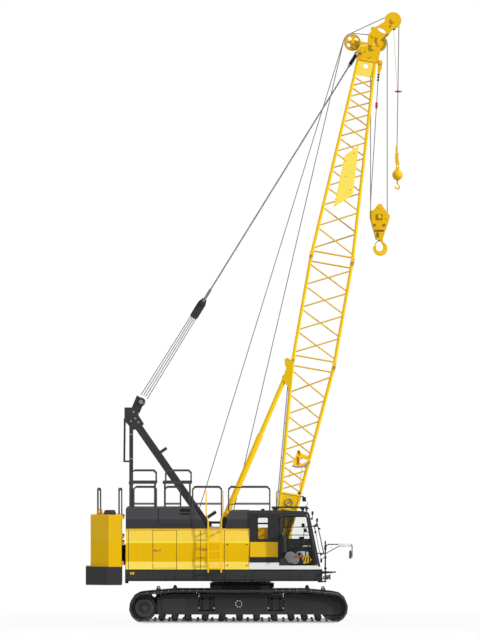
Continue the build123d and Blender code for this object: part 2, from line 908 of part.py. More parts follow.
# Head: side plates from the boom's end to the jib pulley, with every pulley and lug
head_outline = (
    (head_base + 20, -252),
    (head_base + 20, 332),
    (15022, 336),
    (15250, 330),
    (15375, 334),
    (15516, 490),
    (15655, 560),
    (15800, 640),
    (15820, 440),
    (15876, 314),
    (15687, 87),
    (15640, -30),
    (15538, -18),
    (15423, -91),
    (15214, -63),
    (15123, -261),
    (14883, -352),
    (14780, -352),
)
head = [block(head_base, head_base + 32, -300, -160, -312, 312)]
oval = Pos(15609, 278) * Rot(0, 0, 110) * Ellipse(138, 55)
for side in (-1, 1):
    cheek = boom_plate(head_outline, side * 250, side * 280)
    cheek -= extrude(Plane.XY.offset(-400) * oval, amount=800)
    head.append(cheek)
    head.append(eye_plate(*jib_pulley, side * 228, side * 262, 240, 40, 32))
    head.append(eye_plate(15610, 21, side * 250, side * 280, 66, 33))
    head.append(block(head_base, head_base + 32, -300, 345, side * 240, side * 312))
    head.append(
        boom_plate(
            ((14860, -200), (15040, -560), (15190, -560), (15215, -430), (15180, -60), (14900, -60)),
            side * 196, side * 216,
        )
    )
    pin_start = 200 if side > 0 else -365
    head.append(extrude(Pos(*stay_pin, pin_start) * RegularPolygon(33, 12), amount=165))
head.append(eye_plate(*dead_end, -290, -240, 66, 30))
head.append(block(head_base + 5, 14760, 300, 392, -290, -240))
for s, w, radius, half in (
    (*main_pulley, 44, 262),
    (*guide_pulley, 38, 216),
    (*jib_pulley, 44, 262),
    (14900, -180, 60, 262),
    (15400, 60, 50, 262),
):
    head.append(extrude(Pos(s, w, -half) * RegularPolygon(radius, 12), amount=2 * half))
save("boom_head", boom_place * join(head))


def pulley(s, w, y, radius, width, bore, windows=0):
    """Rope pulley, with round windows through its web where it has them."""
    wheel = RegularPolygon(radius, 32) - RegularPolygon(bore, 12)
    for turn in range(windows):
        angle = 45 + 360 * turn / windows
        wheel -= Rot(0, 0, angle) * Pos(radius * 0.55, 0) * RegularPolygon(radius * 0.24, 10)
    return extrude(Pos(s, w, y - width / 2) * wheel, amount=width)


head_pulleys = [pulley(*main_pulley, y, 222, 46, 52) for y in (-150, -50, 50, 150)]
head_pulleys += [pulley(*guide_pulley, y, 240, 44, 40, 4) for y in (-150, 150)]
head_pulleys += [pulley(*jib_pulley, 0, 158, 50, 46)]
save("head_pulleys", boom_place * Compound([wheel.solid() for wheel in head_pulleys]))

# ---- Stay: telescoping rope falls, bridle and pendants, along the line to the boom head ----

stay_eye = boom_xz(*stay_pin)
stay_length = math.dist(gantry_pulley, stay_eye)
stay_slope = math.atan2(stay_eye[1] - gantry_pulley[1], stay_eye[0] - gantry_pulley[0])
stay_place = Plane(
    origin=(gantry_pulley[0], 0, gantry_pulley[1]),
    x_dir=(math.cos(stay_slope), 0, math.sin(stay_slope)),
    z_dir=(0, 1, 0),
).location
bridle_start = bridle_distance - bridle_length / 2
bridle_end = bridle_distance + bridle_length / 2
fall_offsets = (-105, -35, 35, 105)


def falls(y, end):
    """Four parallel ropes from the gantry pulley's rim to a place along the stay."""
    ropes = []
    for offset in fall_offsets:
        start = math.sqrt(pulley_clearance**2 - offset**2)
        ropes.append(bar((start, offset, y), (end, offset * 0.78, y), rope_diameter, 6))
    return [stay_place * rope for rope in ropes]


save("falls_gantry", *falls(0, bridle_start - 12))
save("falls_middle", *falls(-90, bridle_start - 12))
save("falls_bridle", *falls(90, bridle_start - 1))
bridle_outline = (
    (bridle_start, -95),
    (bridle_start + 60, -118),
    (bridle_end - 160, -118),
    (bridle_end, -60),
    (bridle_end, 60),
    (bridle_end - 160, 118),
    (bridle_start + 60, 118),
    (bridle_start, 95),
)
bridle = [boom_plate(bridle_outline, side * 118, side * 140) for side in (-1, 1)]
bridle.append(block(bridle_start, bridle_start + 30, -95, 95, -120, 120))
bridle.append(block(bridle_end - 190, bridle_end - 90, -50, 50, -380, 380))
bridle += [
    extrude(Pos(bridle_start + 190, 0, y - 26) * RegularPolygon(108, 20), amount=52) for y in (-80, 0, 80)
]
bridle.append(extrude(Pos(bridle_start + 190, 0, -150) * RegularPolygon(36, 12), amount=300))
save("bridle", stay_place * join(bridle))
pendants = []
for side in (-1, 1):
    y = side * 332
    eye = eye_plate(stay_length, 0, y - 20, y + 20, 72, 37)
    neck = bar((stay_length - 62, 0, y), (stay_length - 430, 0, y), 84, 8)
    wire = bar((stay_length - 420, 0, y), (bridle_end + 300, 0, y), 42, 8)
    socket = bar((bridle_end + 320, 0, y), (bridle_end - 90, 0, y), 80, 8)
    pendants.append(stay_place * join([eye, neck, wire, socket]))
save("pendants", *pendants)

# ---- Hoist ropes: an upper line from each guide pulley and a tail from its drum ----

guide_centre = boom_xz(*guide_pulley)
hoist_lines = (
    # name, drum centre, y of the rope
    ("rear", rear_drum, -150),
    ("front", front_drum, 150),
)
tail_length = 2950
drum_reach = drum_radius + rope_diameter / 2
guide_reach = 240 + 6 + rope_diameter / 2
for name, (x, z), y in hoist_lines:
    across = guide_centre[0] - x
    up = guide_centre[1] - z
    slope = math.atan2(up, across) + math.asin((guide_reach - drum_reach) / math.hypot(across, up))
    along = Vector(math.cos(slope), 0, math.sin(slope))
    aside = Vector(math.sin(slope), 0, -math.cos(slope))
    drum_point = Vector(x, y, z) - aside * drum_reach
    guide_point = Vector(guide_centre[0], y, guide_centre[1]) - aside * guide_reach
    save(f"hoist_line_{name}", bar(drum_point + along * 420, guide_point, rope_diameter, 6))
    tail_y = Vector(0, 34, 0)
    tail_start = drum_point + tail_y
    save(f"hoist_tail_{name}", bar(tail_start, tail_start + along * tail_length, rope_diameter, 6))

# ---- Backstops: a tube on the deck and a rod on the boom, one pair each side ----

backstop_eye = boom_xz(*backstop_pin)
backstop_slope = math.atan2(backstop_eye[1] - backstop_pivot[1], backstop_eye[0] - backstop_pivot[0])
backstop_length = math.dist(backstop_pivot, backstop_eye)
backstop_place = Plane(
    origin=(backstop_pivot[0], 0, backstop_pivot[1]),
    x_dir=(math.cos(backstop_slope), 0, math.sin(backstop_slope)),
    z_dir=(0, 1, 0),
).location
tube_end = 2650
rod_start = 900
tubes = []
rods = []
for side in (-1, 1):
    y = side * backstop_side
    tube = bar((70, 0, y), (tube_end, 0, y), backstop_diameter, 16)
    tube -= bar((400, 0, y), (tube_end + 10, 0, y), 146, 16)
    tubes.append(backstop_place * join([tube, eye_plate(0, 0, y - 40, y + 40, 95, 42)]))
    rod = bar((rod_start, 0, y), (backstop_length - 60, 0, y), 128, 16)
    rods.append(backstop_place * join([rod, eye_plate(backstop_length, 0, y - 38, y + 38, 84, 50)]))
save("backstop_tubes", *tubes)
save("backstop_rods", *rods)

# ---- Hooks: main block on four falls and the ball hook on one rope ----

main_centre = boom_xz(*main_pulley)
fall_reach = 222 + 6 + rope_diameter / 2
block_top = 12030
main_hook_x = 4000
falls_main = []
for reach, y in ((fall_reach, -50), (fall_reach, 50), (-fall_reach, 50)):
    x = main_centre[0] + reach
    falls_main.append(bar((x, y, block_top - 380), (x, y, main_centre[1]), rope_diameter, 6))
save("main_falls", *falls_main)


def hook(x, z, reach, thickness, shank_top, throat):
    """Open hook around (x, z) with its tip on the rear side; throat is the opening's radius."""
    opening = Pos(-reach * 0.1, reach * 0.12) * RegularPolygon(throat, 20)
    opening += make_face(
        Polyline(
            (-reach * 0.1 - throat * 0.98, reach * 0.2),
            (-reach * 0.28, reach * 0.98),
            (reach * 0.06, reach * 0.98),
            (-reach * 0.1 + throat * 0.94, reach * 0.3),
            close=True,
        )
    )
    mouth = make_face(
        Polyline(
            (-reach * 0.2, reach * 0.5),
            (-reach * 1.3, reach * 0.32),
            (-reach * 1.3, reach * 1.4),
            (-reach * 0.3, reach * 1.4),
            close=True,
        )
    )
    neck = make_face(
        Polyline(
            (-reach * 0.3, reach * 0.8),
            (-reach * 0.24, reach * 1.5),
            (reach * 0.24, reach * 1.5),
            (reach * 0.5, reach * 0.75),
            close=True,
        )
    )
    outline = RegularPolygon(reach, 28) + neck - opening - mouth
    body = extrude(Plane.XZ.offset(-thickness / 2) * Pos(x, z) * outline, amount=thickness)
    shank = block(
        x - reach * 0.24, x + reach * 0.24, -thickness / 2, thickness / 2, z + reach * 1.45, shank_top
    )
    return join([body, shank])


block_middle = main_centre[0] + 25
cheek_outline = (
    (block_middle - 50, block_top),
    (block_middle + 50, block_top),
    (block_middle + 95, 11950),
    (block_middle + 292, 11700),
    (block_middle + 292, 11640),
    (block_middle + 75, 10990),
    (block_middle - 105, 11000),
    (block_middle - 292, 11620),
    (block_middle - 292, 11850),
    (block_middle - 190, 11850),
    (block_middle - 95, 11950),
)
hook_block = [plate(cheek_outline, side * 96, side * 150) for side in (-1, 1)]
hook_block += [disc(main_centre[0], 11650, y - 24, y + 24, 228, 28) for y in (-50, 50)]
hook_block.append(disc(main_centre[0], 11650, -170, 170, 60, 12))
hook_block.append(block(block_middle - 125, block_middle + 95, -110, 110, 11010, 11150))
hook_block += [disc(x, 11430, -166, 166, 34, 6) for x in (3845, 4118)]
hook_block.append(block(block_middle - 62, block_middle + 62, -165, 165, 11600, 11724))
hook_block.append(hook(main_hook_x, 10750, 205, 96, 11040, 106))
save("hook_block", join(hook_block))

def ringed(rings, sides):
    """Upright turned form of flat faces through level rings of (height, radius)."""
    turns = [2 * math.pi * i / sides for i in range(sides)]
    levels = [[(radius * math.cos(a), radius * math.sin(a), z) for a in turns] for z, radius in rings]
    faces = [make_face(Polyline(*levels[0], close=True)), make_face(Polyline(*levels[-1], close=True))]
    for lower, upper in zip(levels, levels[1:]):
        for i in range(sides):
            faces.append(make_face(Polyline(lower[i - 1], lower[i], upper[i], upper[i - 1], close=True)))
    return Solid(Shell(faces))


jib_centre = boom_xz(*jib_pulley)
jib_reach = 158 + 6 + rope_diameter / 2
ball_x = 4500
save("aux_rope", bar((ball_x - 15, 0, 13694), (jib_centre[0] + jib_reach, 0, jib_centre[1]), rope_diameter, 6))
ball_z = 12870
ball_radius = 154
ball_rings = (
    # height above the ball's middle, radius
    (-ball_radius, 60),
    (-109, 109),
    (-57, 144),
    (0, ball_radius),
    (57, 144),
    (109, 109),
    (143, 62),
    (175, 60),
)
ball = Pos(ball_x, 0, ball_z) * ringed(ball_rings, 20)
link = plate(
    (
        (ball_x - 50, 13010), (ball_x + 50, 13010), (ball_x + 50, 13210), (ball_x + 30, 13290),
        (ball_x + 26, 13420), (ball_x + 40, 13500), (ball_x - 62, 13500), (ball_x - 78, 13360),
        (ball_x - 70, 13230), (ball_x - 50, 13190),
    ),
    -38, 38,
)
link -= disc(ball_x, 13120, -50, 50, 24, 10)
clamp = bar((ball_x - 20, 0, 13495), (ball_x - 20, 0, 13692), 64, 8)
neck = bar((ball_x - 3, 0, 12600), (ball_x - 3, 0, ball_z - 100), 52, 8)
save("aux_ball", join([ball, link, clamp, neck, hook(ball_x - 3, 12520, 76, 40, 12640, 38)]))

# ---- Operator's cab: floor, rear shell, inner wall, roof, front frame, door and glass ----

cab_outer = half_width
slope_step = (pillar_foot[0] - pillar_top[0]) / (pillar_top[1] - pillar_foot[1])


def pillar_x(z, inset):
    """X of the windscreen's slanted line at height z, moved rearwards by inset."""
    return pillar_foot[0] - (z - pillar_foot[1]) * slope_step - inset


floor = [
    block(cab_rear, pillar_x(cab_floor_top, 0), -cab_outer, -cab_inner, deck_top, cab_floor_top),
    block(cab_door_rear, pillar_x(1645, 75), -cab_outer, -cab_outer + cab_wall, cab_floor_top - 10, 1640),
]
save("cab_floor", join(floor))

window_rear = ((470, 2390), (769, 2390), (769, 3020), (470, 3020))
window_front = ((1235, 1860), (1390, 1665), (2100, 1665), (1868, 3040), (1140, 3040), (1140, 1900))
window_inner = ((1140, 2400), (1976, 2400), (1868, 3040), (1140, 3040))


def window_cut(outline, y0, y1, rounding=45):
    """Cutter for one window through a side wall."""
    return plate(outline, y0, y1, rounding)


rear_shell = [
    block(cab_rear, cab_rear + cab_wall, -cab_outer, -cab_inner, cab_floor_top, cab_roof_low),
    block(cab_rear, cab_door_rear - 6, -cab_outer, -cab_outer + cab_wall, cab_floor_top, cab_roof_low),
    block(cab_rear + 20, 1050, -cab_outer - 9, -cab_outer + 5, 1886, 2316),
]
rear_shell = join(rear_shell)
rear_shell -= window_cut(window_rear, -cab_outer - 20, -cab_outer + 80)
save("cab_rear_shell", rear_shell)

inner_outline = (
    (cab_rear + cab_wall, cab_floor_top),
    (pillar_x(cab_floor_top, 70), cab_floor_top),
    (pillar_x(cab_roof_low, 70), cab_roof_low),
    (cab_rear + cab_wall, cab_roof_low),
)
inner_wall = plate(inner_outline, -cab_inner - cab_wall, -cab_inner)
inner_wall -= window_cut(window_rear, -cab_inner - 80, -cab_inner + 10)
inner_wall -= window_cut(window_inner, -cab_inner - 80, -cab_inner + 10)
save("cab_inner_wall", inner_wall)

roof_outline = (
    (cab_rear, cab_roof_low),
    (pillar_x(cab_roof_low, 0), cab_roof_low),
    (1905, 3172),
    (1780, cab_roof_top),
    (1000, cab_roof_top + 20),
    (cab_rear, cab_roof_top + 20),
)
guard = [block(880, 1915, y - 16, y + 16, 3296, 3322) for y in (-1500, -1290, -1080, -870)]
guard += [block(x - 16, x + 16, -1540, -830, 3296, 3322) for x in (896, 1230, 1565, 1899)]
guard += [block(x - 14, x + 14, y - 14, y + 14, 3150, 3300) for x in (910, 1885) for y in (-1500, -870)]
save("cab_roof", join([plate(roof_outline, -cab_outer, -cab_inner)] + guard))

strip = (
    (pillar_x(cab_roof_low, 64), cab_roof_low),
    (pillar_x(cab_roof_low, 0), cab_roof_low),
    (pillar_x(cab_floor_top, 0), cab_floor_top),
    (pillar_x(cab_floor_top, 64), cab_floor_top),
)
front_frame = plate(strip, -cab_outer, -cab_inner)
front_frame -= block(1700, 2400, -cab_outer + 60, -cab_inner - 60, 1700, 3050)
front_frame += block(pillar_x(2380, 60), pillar_x(2380, 8), -cab_outer + 50, -cab_inner - 50, 2360, 2400)
save("cab_front_frame", front_frame)

screen = plate(
    (
        (pillar_x(3049, 36), 3049),
        (pillar_x(3049, 28), 3049),
        (pillar_x(2401, 28), 2401),
        (pillar_x(2401, 36), 2401),
    ),
    -cab_outer + 61, -cab_inner - 61,
)
low_screen = plate(
    (
        (pillar_x(2359, 36), 2359),
        (pillar_x(2359, 28), 2359),
        (pillar_x(1701, 28), 1701),
        (pillar_x(1701, 36), 1701),
    ),
    -cab_outer + 61, -cab_inner - 61,
)
glass = [screen, low_screen]
inner_pane = -cab_inner - 28
for outline, y in ((window_rear, -cab_outer + 22), (window_rear, inner_pane), (window_inner, inner_pane)):
    glass.append(window_cut(outline, y, y + 6))
save("cab_glass", *glass)

door_outline = (
    (cab_door_rear, 1646),
    (pillar_x(1646, 72), 1646),
    (pillar_x(3122, 72), 3122),
    (cab_door_rear, 3122),
)
door = plate(door_outline, -cab_outer, -cab_outer + cab_wall - 5)
door -= window_cut(window_front, -cab_outer - 10, -cab_outer + 80)
grip = block(2030, 2052, -cab_outer - 40, -cab_outer - 16, 2070, 2230)
for z in (2070, 2212):
    grip = grip + block(2030, 2052, -cab_outer - 40, -cab_outer + 5, z, z + 18)
save("cab_door", join([door, grip]))
save("door_glass", window_cut(window_front, -cab_outer + 20, -cab_outer + 26))

seat_y = (-1440, -960)
seat = [
    block(1330, 1680, seat_y[0] + 60, seat_y[1] - 60, cab_floor_top, 1850),
    plate(((1240, 1850), (1790, 1850), (1800, 1960), (1760, 1990), (1240, 1970)), *seat_y),
    plate(((1180, 1900), (1300, 1900), (1250, 2560), (1120, 2560)), *seat_y),
    plate(((1150, 2570), (1230, 2560), (1215, 2760), (1140, 2760)), seat_y[0] + 90, seat_y[1] - 90),
    block(1170, 1210, -1240, -1160, 2540, 2600),
]
save("operator_seat", join(seat))
console = [
    block(1420, 1960, -1545, -1462, cab_floor_top, 1900),
    block(1930, 2040, -1400, -1000, cab_floor_top, 2060),
    bar((1700, -1500, 1890), (1700, -1500, 2110), 30, 8),
    bar((1850, -1500, 1890), (1850, -1500, 2110), 30, 8),
    bar((1980, -1330, 2040), (1930, -1330, 2240), 26, 8),
    bar((1980, -1080, 2040), (1930, -1080, 2240), 26, 8),
]
console_lever = bar((1430, -1503, 1892), (1420, -1503, 1980), 26, 8)
save("cab_console", join(console[:1] + console[2:4] + [console_lever]), join(console[1:2] + console[4:]))

# ---- Front corner: step plate, mirror post and its long arm ----

post_y = -1560
arm_y = post_y - 60
horn = ((2500, 1290), (2540, 1230), (2560, 1230), (2560, 1390), (2540, 1390), (2500, 1330))
mirror = [
    block(deck_front, 2500, post_y - 25, post_y + 25, 1240, 1280),
    block(deck_front, 2500, post_y - 25, post_y + 25, 1430, 1470),
    bar((2413, post_y, 1180), (2413, post_y, 2350), 46, 8),
    rail(((2413, post_y, 2180), (2480, arm_y, 2250), (3180, arm_y, 2250), (3180, arm_y, 1880)), 32, 40),
    bar((2418, post_y - 5, 1980), (2885, arm_y, 2245), 24, 8),
    block(3096, 3160, post_y - 130, post_y + 10, 1840, 2050),
    block(deck_front, 2720, post_y - 120, post_y + 300, 1440, 1466),
    plate(horn, post_y - 40, post_y + 40),
]
guard_top = (2178, 2868)
guard_foot = (2374, 1962)
guard_y = (-cab_outer + 30, -cab_inner - 30)
for y in guard_y:
    mirror.append(bar((guard_top[0], y, guard_top[1]), (guard_foot[0], y, guard_foot[1]), 28, 8))
    for z, x in ((2765, 2200), (1985, 2369)):
        mirror.append(bar((pillar_x(z - 13, -1), y, z), (x + 6, y, z), 24, 8))
for x, z in ((2214, 2700), (2369, 1985)):
    mirror.append(bar((x, guard_y[0], z), (x, guard_y[1], z), 24, 8))
mirror.append(bar((2369, guard_y[0], 1985), (2413, post_y, 1985), 26, 8))
mirror.append(block(3150, 3190, post_y - 76, post_y - 44, 1900, 1940))
mirror.append(block(2400, 2510, post_y - 14, post_y + 14, 1296, 1324))
save("mirror_frame", join(mirror))
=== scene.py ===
import json
import math

import bmesh
import bpy
from mathutils import Matrix, Vector


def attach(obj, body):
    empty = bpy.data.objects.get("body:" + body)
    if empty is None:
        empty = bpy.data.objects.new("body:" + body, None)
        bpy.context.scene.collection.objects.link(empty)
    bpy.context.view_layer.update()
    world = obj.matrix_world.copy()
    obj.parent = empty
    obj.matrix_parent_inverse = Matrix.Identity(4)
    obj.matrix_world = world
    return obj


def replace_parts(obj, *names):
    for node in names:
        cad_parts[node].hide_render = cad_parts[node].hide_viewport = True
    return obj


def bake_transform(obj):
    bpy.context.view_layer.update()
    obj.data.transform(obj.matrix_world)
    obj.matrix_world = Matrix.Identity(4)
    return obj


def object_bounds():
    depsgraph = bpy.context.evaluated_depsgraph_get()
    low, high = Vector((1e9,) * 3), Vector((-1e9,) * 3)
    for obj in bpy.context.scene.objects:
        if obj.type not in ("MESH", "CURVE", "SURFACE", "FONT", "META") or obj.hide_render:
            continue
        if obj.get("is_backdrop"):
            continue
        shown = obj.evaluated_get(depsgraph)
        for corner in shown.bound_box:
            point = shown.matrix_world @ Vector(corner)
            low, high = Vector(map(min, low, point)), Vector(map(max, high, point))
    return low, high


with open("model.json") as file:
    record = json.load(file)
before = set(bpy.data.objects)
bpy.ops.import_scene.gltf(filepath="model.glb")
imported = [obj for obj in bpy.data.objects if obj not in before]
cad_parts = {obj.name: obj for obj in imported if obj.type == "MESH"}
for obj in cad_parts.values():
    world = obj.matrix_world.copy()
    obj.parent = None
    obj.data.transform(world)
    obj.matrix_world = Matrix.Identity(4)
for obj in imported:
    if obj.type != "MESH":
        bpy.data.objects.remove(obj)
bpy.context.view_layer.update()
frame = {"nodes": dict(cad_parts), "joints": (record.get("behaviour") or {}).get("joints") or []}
nodes = frame["nodes"]
scene = bpy.context.scene
print("frame loaded with", len(nodes), "nodes")

# The bright and pale yellows and the hood's pale grey are painted highlights, the pale steel is painted light from the
# floor, and the lacing yellow and most uses of the dull yellow are painted shade.
palette = {
    "panelYellow": "EFBE00", "paintedLightYellow": "FFE468", "highlightYellow": "FFE946", "boomYellow": "FFCC00",
    "hookYellow": "EDBC08", "signYellow": "FFE45C", "lacingShadeYellow": "E4BA00", "dullShadeYellow": "A88824",
    "brownShade": "8C6C28", "bronze": "8C7A66", "amber": "FFD23C", "red": "C8201C",
    "darkGrey": "343336", "hoodLitGrey": "454447", "slate": "1E2124", "coverGrey": "35373A", "cabDark": "1F2324",
    "rollerDark": "0F1011", "shoe": "242425", "floorLitSteel": "D4D3D2", "steel": "8A8A88", "rope": "8A847B",
    "seatGrey": "858587", "scaleGrey": "8C94A8", "rail": "3A3D40", "seat": "3A3B3D", "socketBlack": "0E0E0F",
    "black": "161617", "rubber": "19191A", "bandWhite": "F1F1EF",
}
white = (1, 1, 1, 1)


def rgb(name):
    # linear colour from the palette's hex value
    text = palette[name]
    channels = [int(text[i:i + 2], 16) / 255 for i in (0, 2, 4)]
    return tuple(c / 12.92 if c <= 0.04045 else ((c + 0.055) / 1.055) ** 2.4 for c in channels) + (1.0,)


# ---- shader nodes


def addNode(tree, kind, inputs=(), **settings):
    # node with its settings; inputs gives a socket its value or the output that feeds it
    node = tree.nodes.new("ShaderNode" + kind)
    for name, value in settings.items():
        setattr(node, name, value)
    for socket, value in dict(inputs).items():
        if isinstance(value, bpy.types.NodeSocket):
            tree.links.new(value, node.inputs[socket])
        elif value is not None:
            node.inputs[socket].default_value = value
    return node


def mathNode(tree, operation, first, second=None, clamp=False):
    return addNode(tree, "Math", {0: first, 1: second}, operation=operation, use_clamp=clamp).outputs[0]


def splitVector(tree, source):
    return addNode(tree, "SeparateXYZ", {0: source}).outputs


def objectPlace(tree):
    return addNode(tree, "TexCoord").outputs["Object"]


# ---- camera, light and floor

cameraPlan = {"lens": 1000, "distance": 512.0, "middleX": -0.037, "middleZ": 8.69, "clip": (10, 2000)}
lightPlan = {"skyStrength": 0.98, "groundStrength": 0.34, "horizon": (-0.25, 0.7),
             "sunStrength": 2.35, "sunTurn": (66, 0, 60), "sunSoftness": 3}
floorPlan = {"radius": 30, "fade": (6, 24), "whiteShare": 0.93, "colour": (0.42, 0.42, 0.42, 1)}


def makeCamera():
    data = bpy.data.cameras.new("camera")
    data.lens = cameraPlan["lens"]
    data.clip_start, data.clip_end = cameraPlan["clip"]
    camera = bpy.data.objects.new("camera", data)
    scene.collection.objects.link(camera)
    camera.location = (cameraPlan["middleX"], -cameraPlan["distance"], cameraPlan["middleZ"])
    camera.rotation_euler = (math.radians(90), 0, 0)
    scene.camera = camera


def cameraRayMask(tree):
    # 1 where the camera looks, straight or through glass and gloss
    path = addNode(tree, "LightPath").outputs
    seen = mathNode(tree, "MAXIMUM", path["Is Camera Ray"], path["Is Glossy Ray"])
    return mathNode(tree, "MAXIMUM", seen, path["Is Transmission Ray"])


def makeSky():
    world = bpy.data.worlds.new("sky")
    scene.world = world
    world.use_nodes = True
    tree = world.node_tree
    tree.nodes.clear()
    # bright overhead, dim below the horizon, and plain white to the camera
    height = splitVector(tree, addNode(tree, "TexCoord").outputs["Generated"])["Z"]
    low, high = lightPlan["horizon"]
    fade = addNode(tree, "MapRange", {"Value": height, "From Min": low, "From Max": high,
                                      "To Min": lightPlan["groundStrength"], "To Max": lightPlan["skyStrength"]})
    soft = addNode(tree, "Background", {"Color": white, "Strength": fade.outputs[0]})
    plain = addNode(tree, "Background", {"Color": white, "Strength": 1.0})
    mix = addNode(tree, "MixShader", {0: cameraRayMask(tree), 1: soft.outputs[0], 2: plain.outputs[0]})
    addNode(tree, "OutputWorld", {"Surface": mix.outputs[0]})


def makeSun():
    data = bpy.data.lights.new("sun", "SUN")
    data.energy = lightPlan["sunStrength"]
    data.angle = math.radians(lightPlan["sunSoftness"])
    sun = bpy.data.objects.new("sun", data)
    sun.rotation_euler = [math.radians(a) for a in lightPlan["sunTurn"]]
    scene.collection.objects.link(sun)


def makeFloor():
    # pale ground that fades to white with distance
    bpy.ops.object.select_all(action="DESELECT")
    bpy.ops.mesh.primitive_circle_add(vertices=64, radius=floorPlan["radius"], fill_type="NGON")
    floor = bpy.context.active_object
    floor.name = "floor"
    material = bpy.data.materials.new("paleFloor")
    material.use_nodes = True
    tree = material.node_tree
    tree.nodes.clear()
    far = addNode(tree, "VectorMath", {0: objectPlace(tree)}, operation="LENGTH").outputs["Value"]
    near, end = floorPlan["fade"]
    fade = addNode(tree, "MapRange", {"Value": far, "From Min": near, "From Max": end,
                                      "To Min": floorPlan["whiteShare"], "To Max": 1.0})
    share = mathNode(tree, "MULTIPLY", fade.outputs[0], cameraRayMask(tree))
    plain = addNode(tree, "BsdfDiffuse", {"Color": floorPlan["colour"]})
    bright = addNode(tree, "Emission", {"Color": white})
    mix = addNode(tree, "MixShader", {0: share, 1: plain.outputs[0], 2: bright.outputs[0]})
    addNode(tree, "OutputMaterial", {"Surface": mix.outputs[0]})
    floor.data.materials.append(material)
    floor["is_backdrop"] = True


scene.view_settings.view_transform = "Standard"
makeCamera()
makeSky()
makeSun()
makeFloor()
print("camera, light and floor are set")

# ---- shader groups shared by the finishes


def newGroup(name, inputs, outputs):
    # group with named sockets, given as its tree, its inputs' values and its outputs' sockets
    group = bpy.data.node_groups.new(name, "ShaderNodeTree")
    for label, value in inputs.items():
        kind = "NodeSocketFloat" if isinstance(value, float) else "NodeSocketVector"
        group.interface.new_socket(label, in_out="INPUT", socket_type=kind).default_value = value
    for label in outputs:
        group.interface.new_socket(label, in_out="OUTPUT", socket_type="NodeSocketFloat")
    start = group.nodes.new("NodeGroupInput").outputs
    return group, start, group.nodes.new("NodeGroupOutput").inputs


def noiseNode(tree, scale, detail=3.0, roughness=0.55, stretch=None):
    # cloudy pattern on Object coordinates; scale may be a socket
    place = objectPlace(tree)
    if stretch:
        place = addNode(tree, "Mapping", {"Scale": stretch, "Vector": place}).outputs[0]
    return addNode(tree, "TexNoise", {"Vector": place, "Scale": scale, "Detail": detail,
                                      "Roughness": roughness}).outputs["Fac"]


def makeEdgeWear():
    # mask that is 1 on worn edges, broken up by fine noise
    group, start, end = newGroup("edgeWear", {"Width": 0.012, "Amount": 0.5}, ["Mask"])
    bevel = addNode(group, "Bevel", {"Radius": start["Width"]}, samples=4)
    normal = addNode(group, "NewGeometry").outputs["Normal"]
    dot = addNode(group, "VectorMath", {0: bevel.outputs[0], 1: normal}, operation="DOT_PRODUCT").outputs["Value"]
    sharp = mathNode(group, "MULTIPLY", mathNode(group, "SUBTRACT", 1.0, dot), 9.0, True)
    patchy = mathNode(group, "SUBTRACT", noiseNode(group, 7.0, 5.0, 0.7), 0.42, True)
    broken = mathNode(group, "MULTIPLY", sharp, mathNode(group, "MULTIPLY", patchy, 5.0, True))
    group.links.new(mathNode(group, "MULTIPLY", broken, start["Amount"], True), end["Mask"])
    return group


def makeDust():
    # dust that lies on upward faces and gathers towards the ground
    group, start, end = newGroup("dust", {"Amount": 0.4, "Height": 1.2}, ["Mask"])
    rise = splitVector(group, addNode(group, "NewGeometry").outputs["Normal"])["Z"]
    upward = mathNode(group, "MULTIPLY", mathNode(group, "MAXIMUM", rise, 0.0), 0.55)
    near = mathNode(group, "DIVIDE", splitVector(group, objectPlace(group))["Z"], start["Height"])
    both = mathNode(group, "ADD", upward, mathNode(group, "SUBTRACT", 1.0, near, True))
    cloud = mathNode(group, "MULTIPLY", noiseNode(group, 3.2, 6.0, 0.65), both)
    group.links.new(mathNode(group, "MULTIPLY", cloud, start["Amount"], True), end["Mask"])
    return group


def makePaintGrain():
    # slow tone change over a panel and the fine orange-peel height of sprayed paint
    group, start, end = newGroup("paintGrain", {"Tone Scale": 0.9, "Peel Scale": 140.0}, ["Tone", "Height", "Gloss"])
    group.links.new(noiseNode(group, start["Tone Scale"], 4.0, 0.6), end["Tone"])
    group.links.new(noiseNode(group, start["Peel Scale"], 2.0, 0.5), end["Height"])
    group.links.new(noiseNode(group, 5.0, 5.0, 0.7, (1, 1, 0.35)), end["Gloss"])
    return group


def makeRainStreaks():
    # faint upright streaks below ledges
    group, start, end = newGroup("rainStreaks", {"Amount": 0.3}, ["Mask"])
    thin = noiseNode(group, 4.0, 5.0, 0.7, (4.0, 4.0, 0.3))
    sharp = mathNode(group, "MULTIPLY", mathNode(group, "SUBTRACT", thin, 0.5, True), 3.4, True)
    group.links.new(mathNode(group, "MULTIPLY", sharp, start["Amount"]), end["Mask"])
    return group


def makeUpwardMask():
    # 1 on faces that lean back towards the sky, 0 on faces that lean forward; it places painted light from the sky on
    # the leaning faces
    group, start, end = newGroup("upwardMask", {"Steepness": 8.0, "Amount": 0.8}, ["Mask"])
    rise = splitVector(group, addNode(group, "NewGeometry").outputs["Normal"])["Z"]
    leaning = mathNode(group, "MULTIPLY", rise, start["Steepness"], True)
    group.links.new(mathNode(group, "MULTIPLY", leaning, start["Amount"]), end["Mask"])
    return group


def makeBoxMask():
    # 1 inside an upright box, 0 elsewhere
    group, start, end = newGroup("boxMask", {"Low": (0, 0, 0), "High": (1, 1, 1)}, ["Mask"])
    place, low, high = (splitVector(group, source) for source in (objectPlace(group), start["Low"], start["High"]))
    mask = 1.0
    for axis in "XYZ":
        above = mathNode(group, "GREATER_THAN", place[axis], low[axis])
        below = mathNode(group, "LESS_THAN", place[axis], high[axis])
        mask = mathNode(group, "MULTIPLY", mathNode(group, "MULTIPLY", above, below), mask)
    group.links.new(mask, end["Mask"])
    return group


def joint(name):
    # pivot of one of the frame's joints
    found = [item for item in frame["joints"] if item["name"] == name][0]
    return Vector(found["pos_m"])


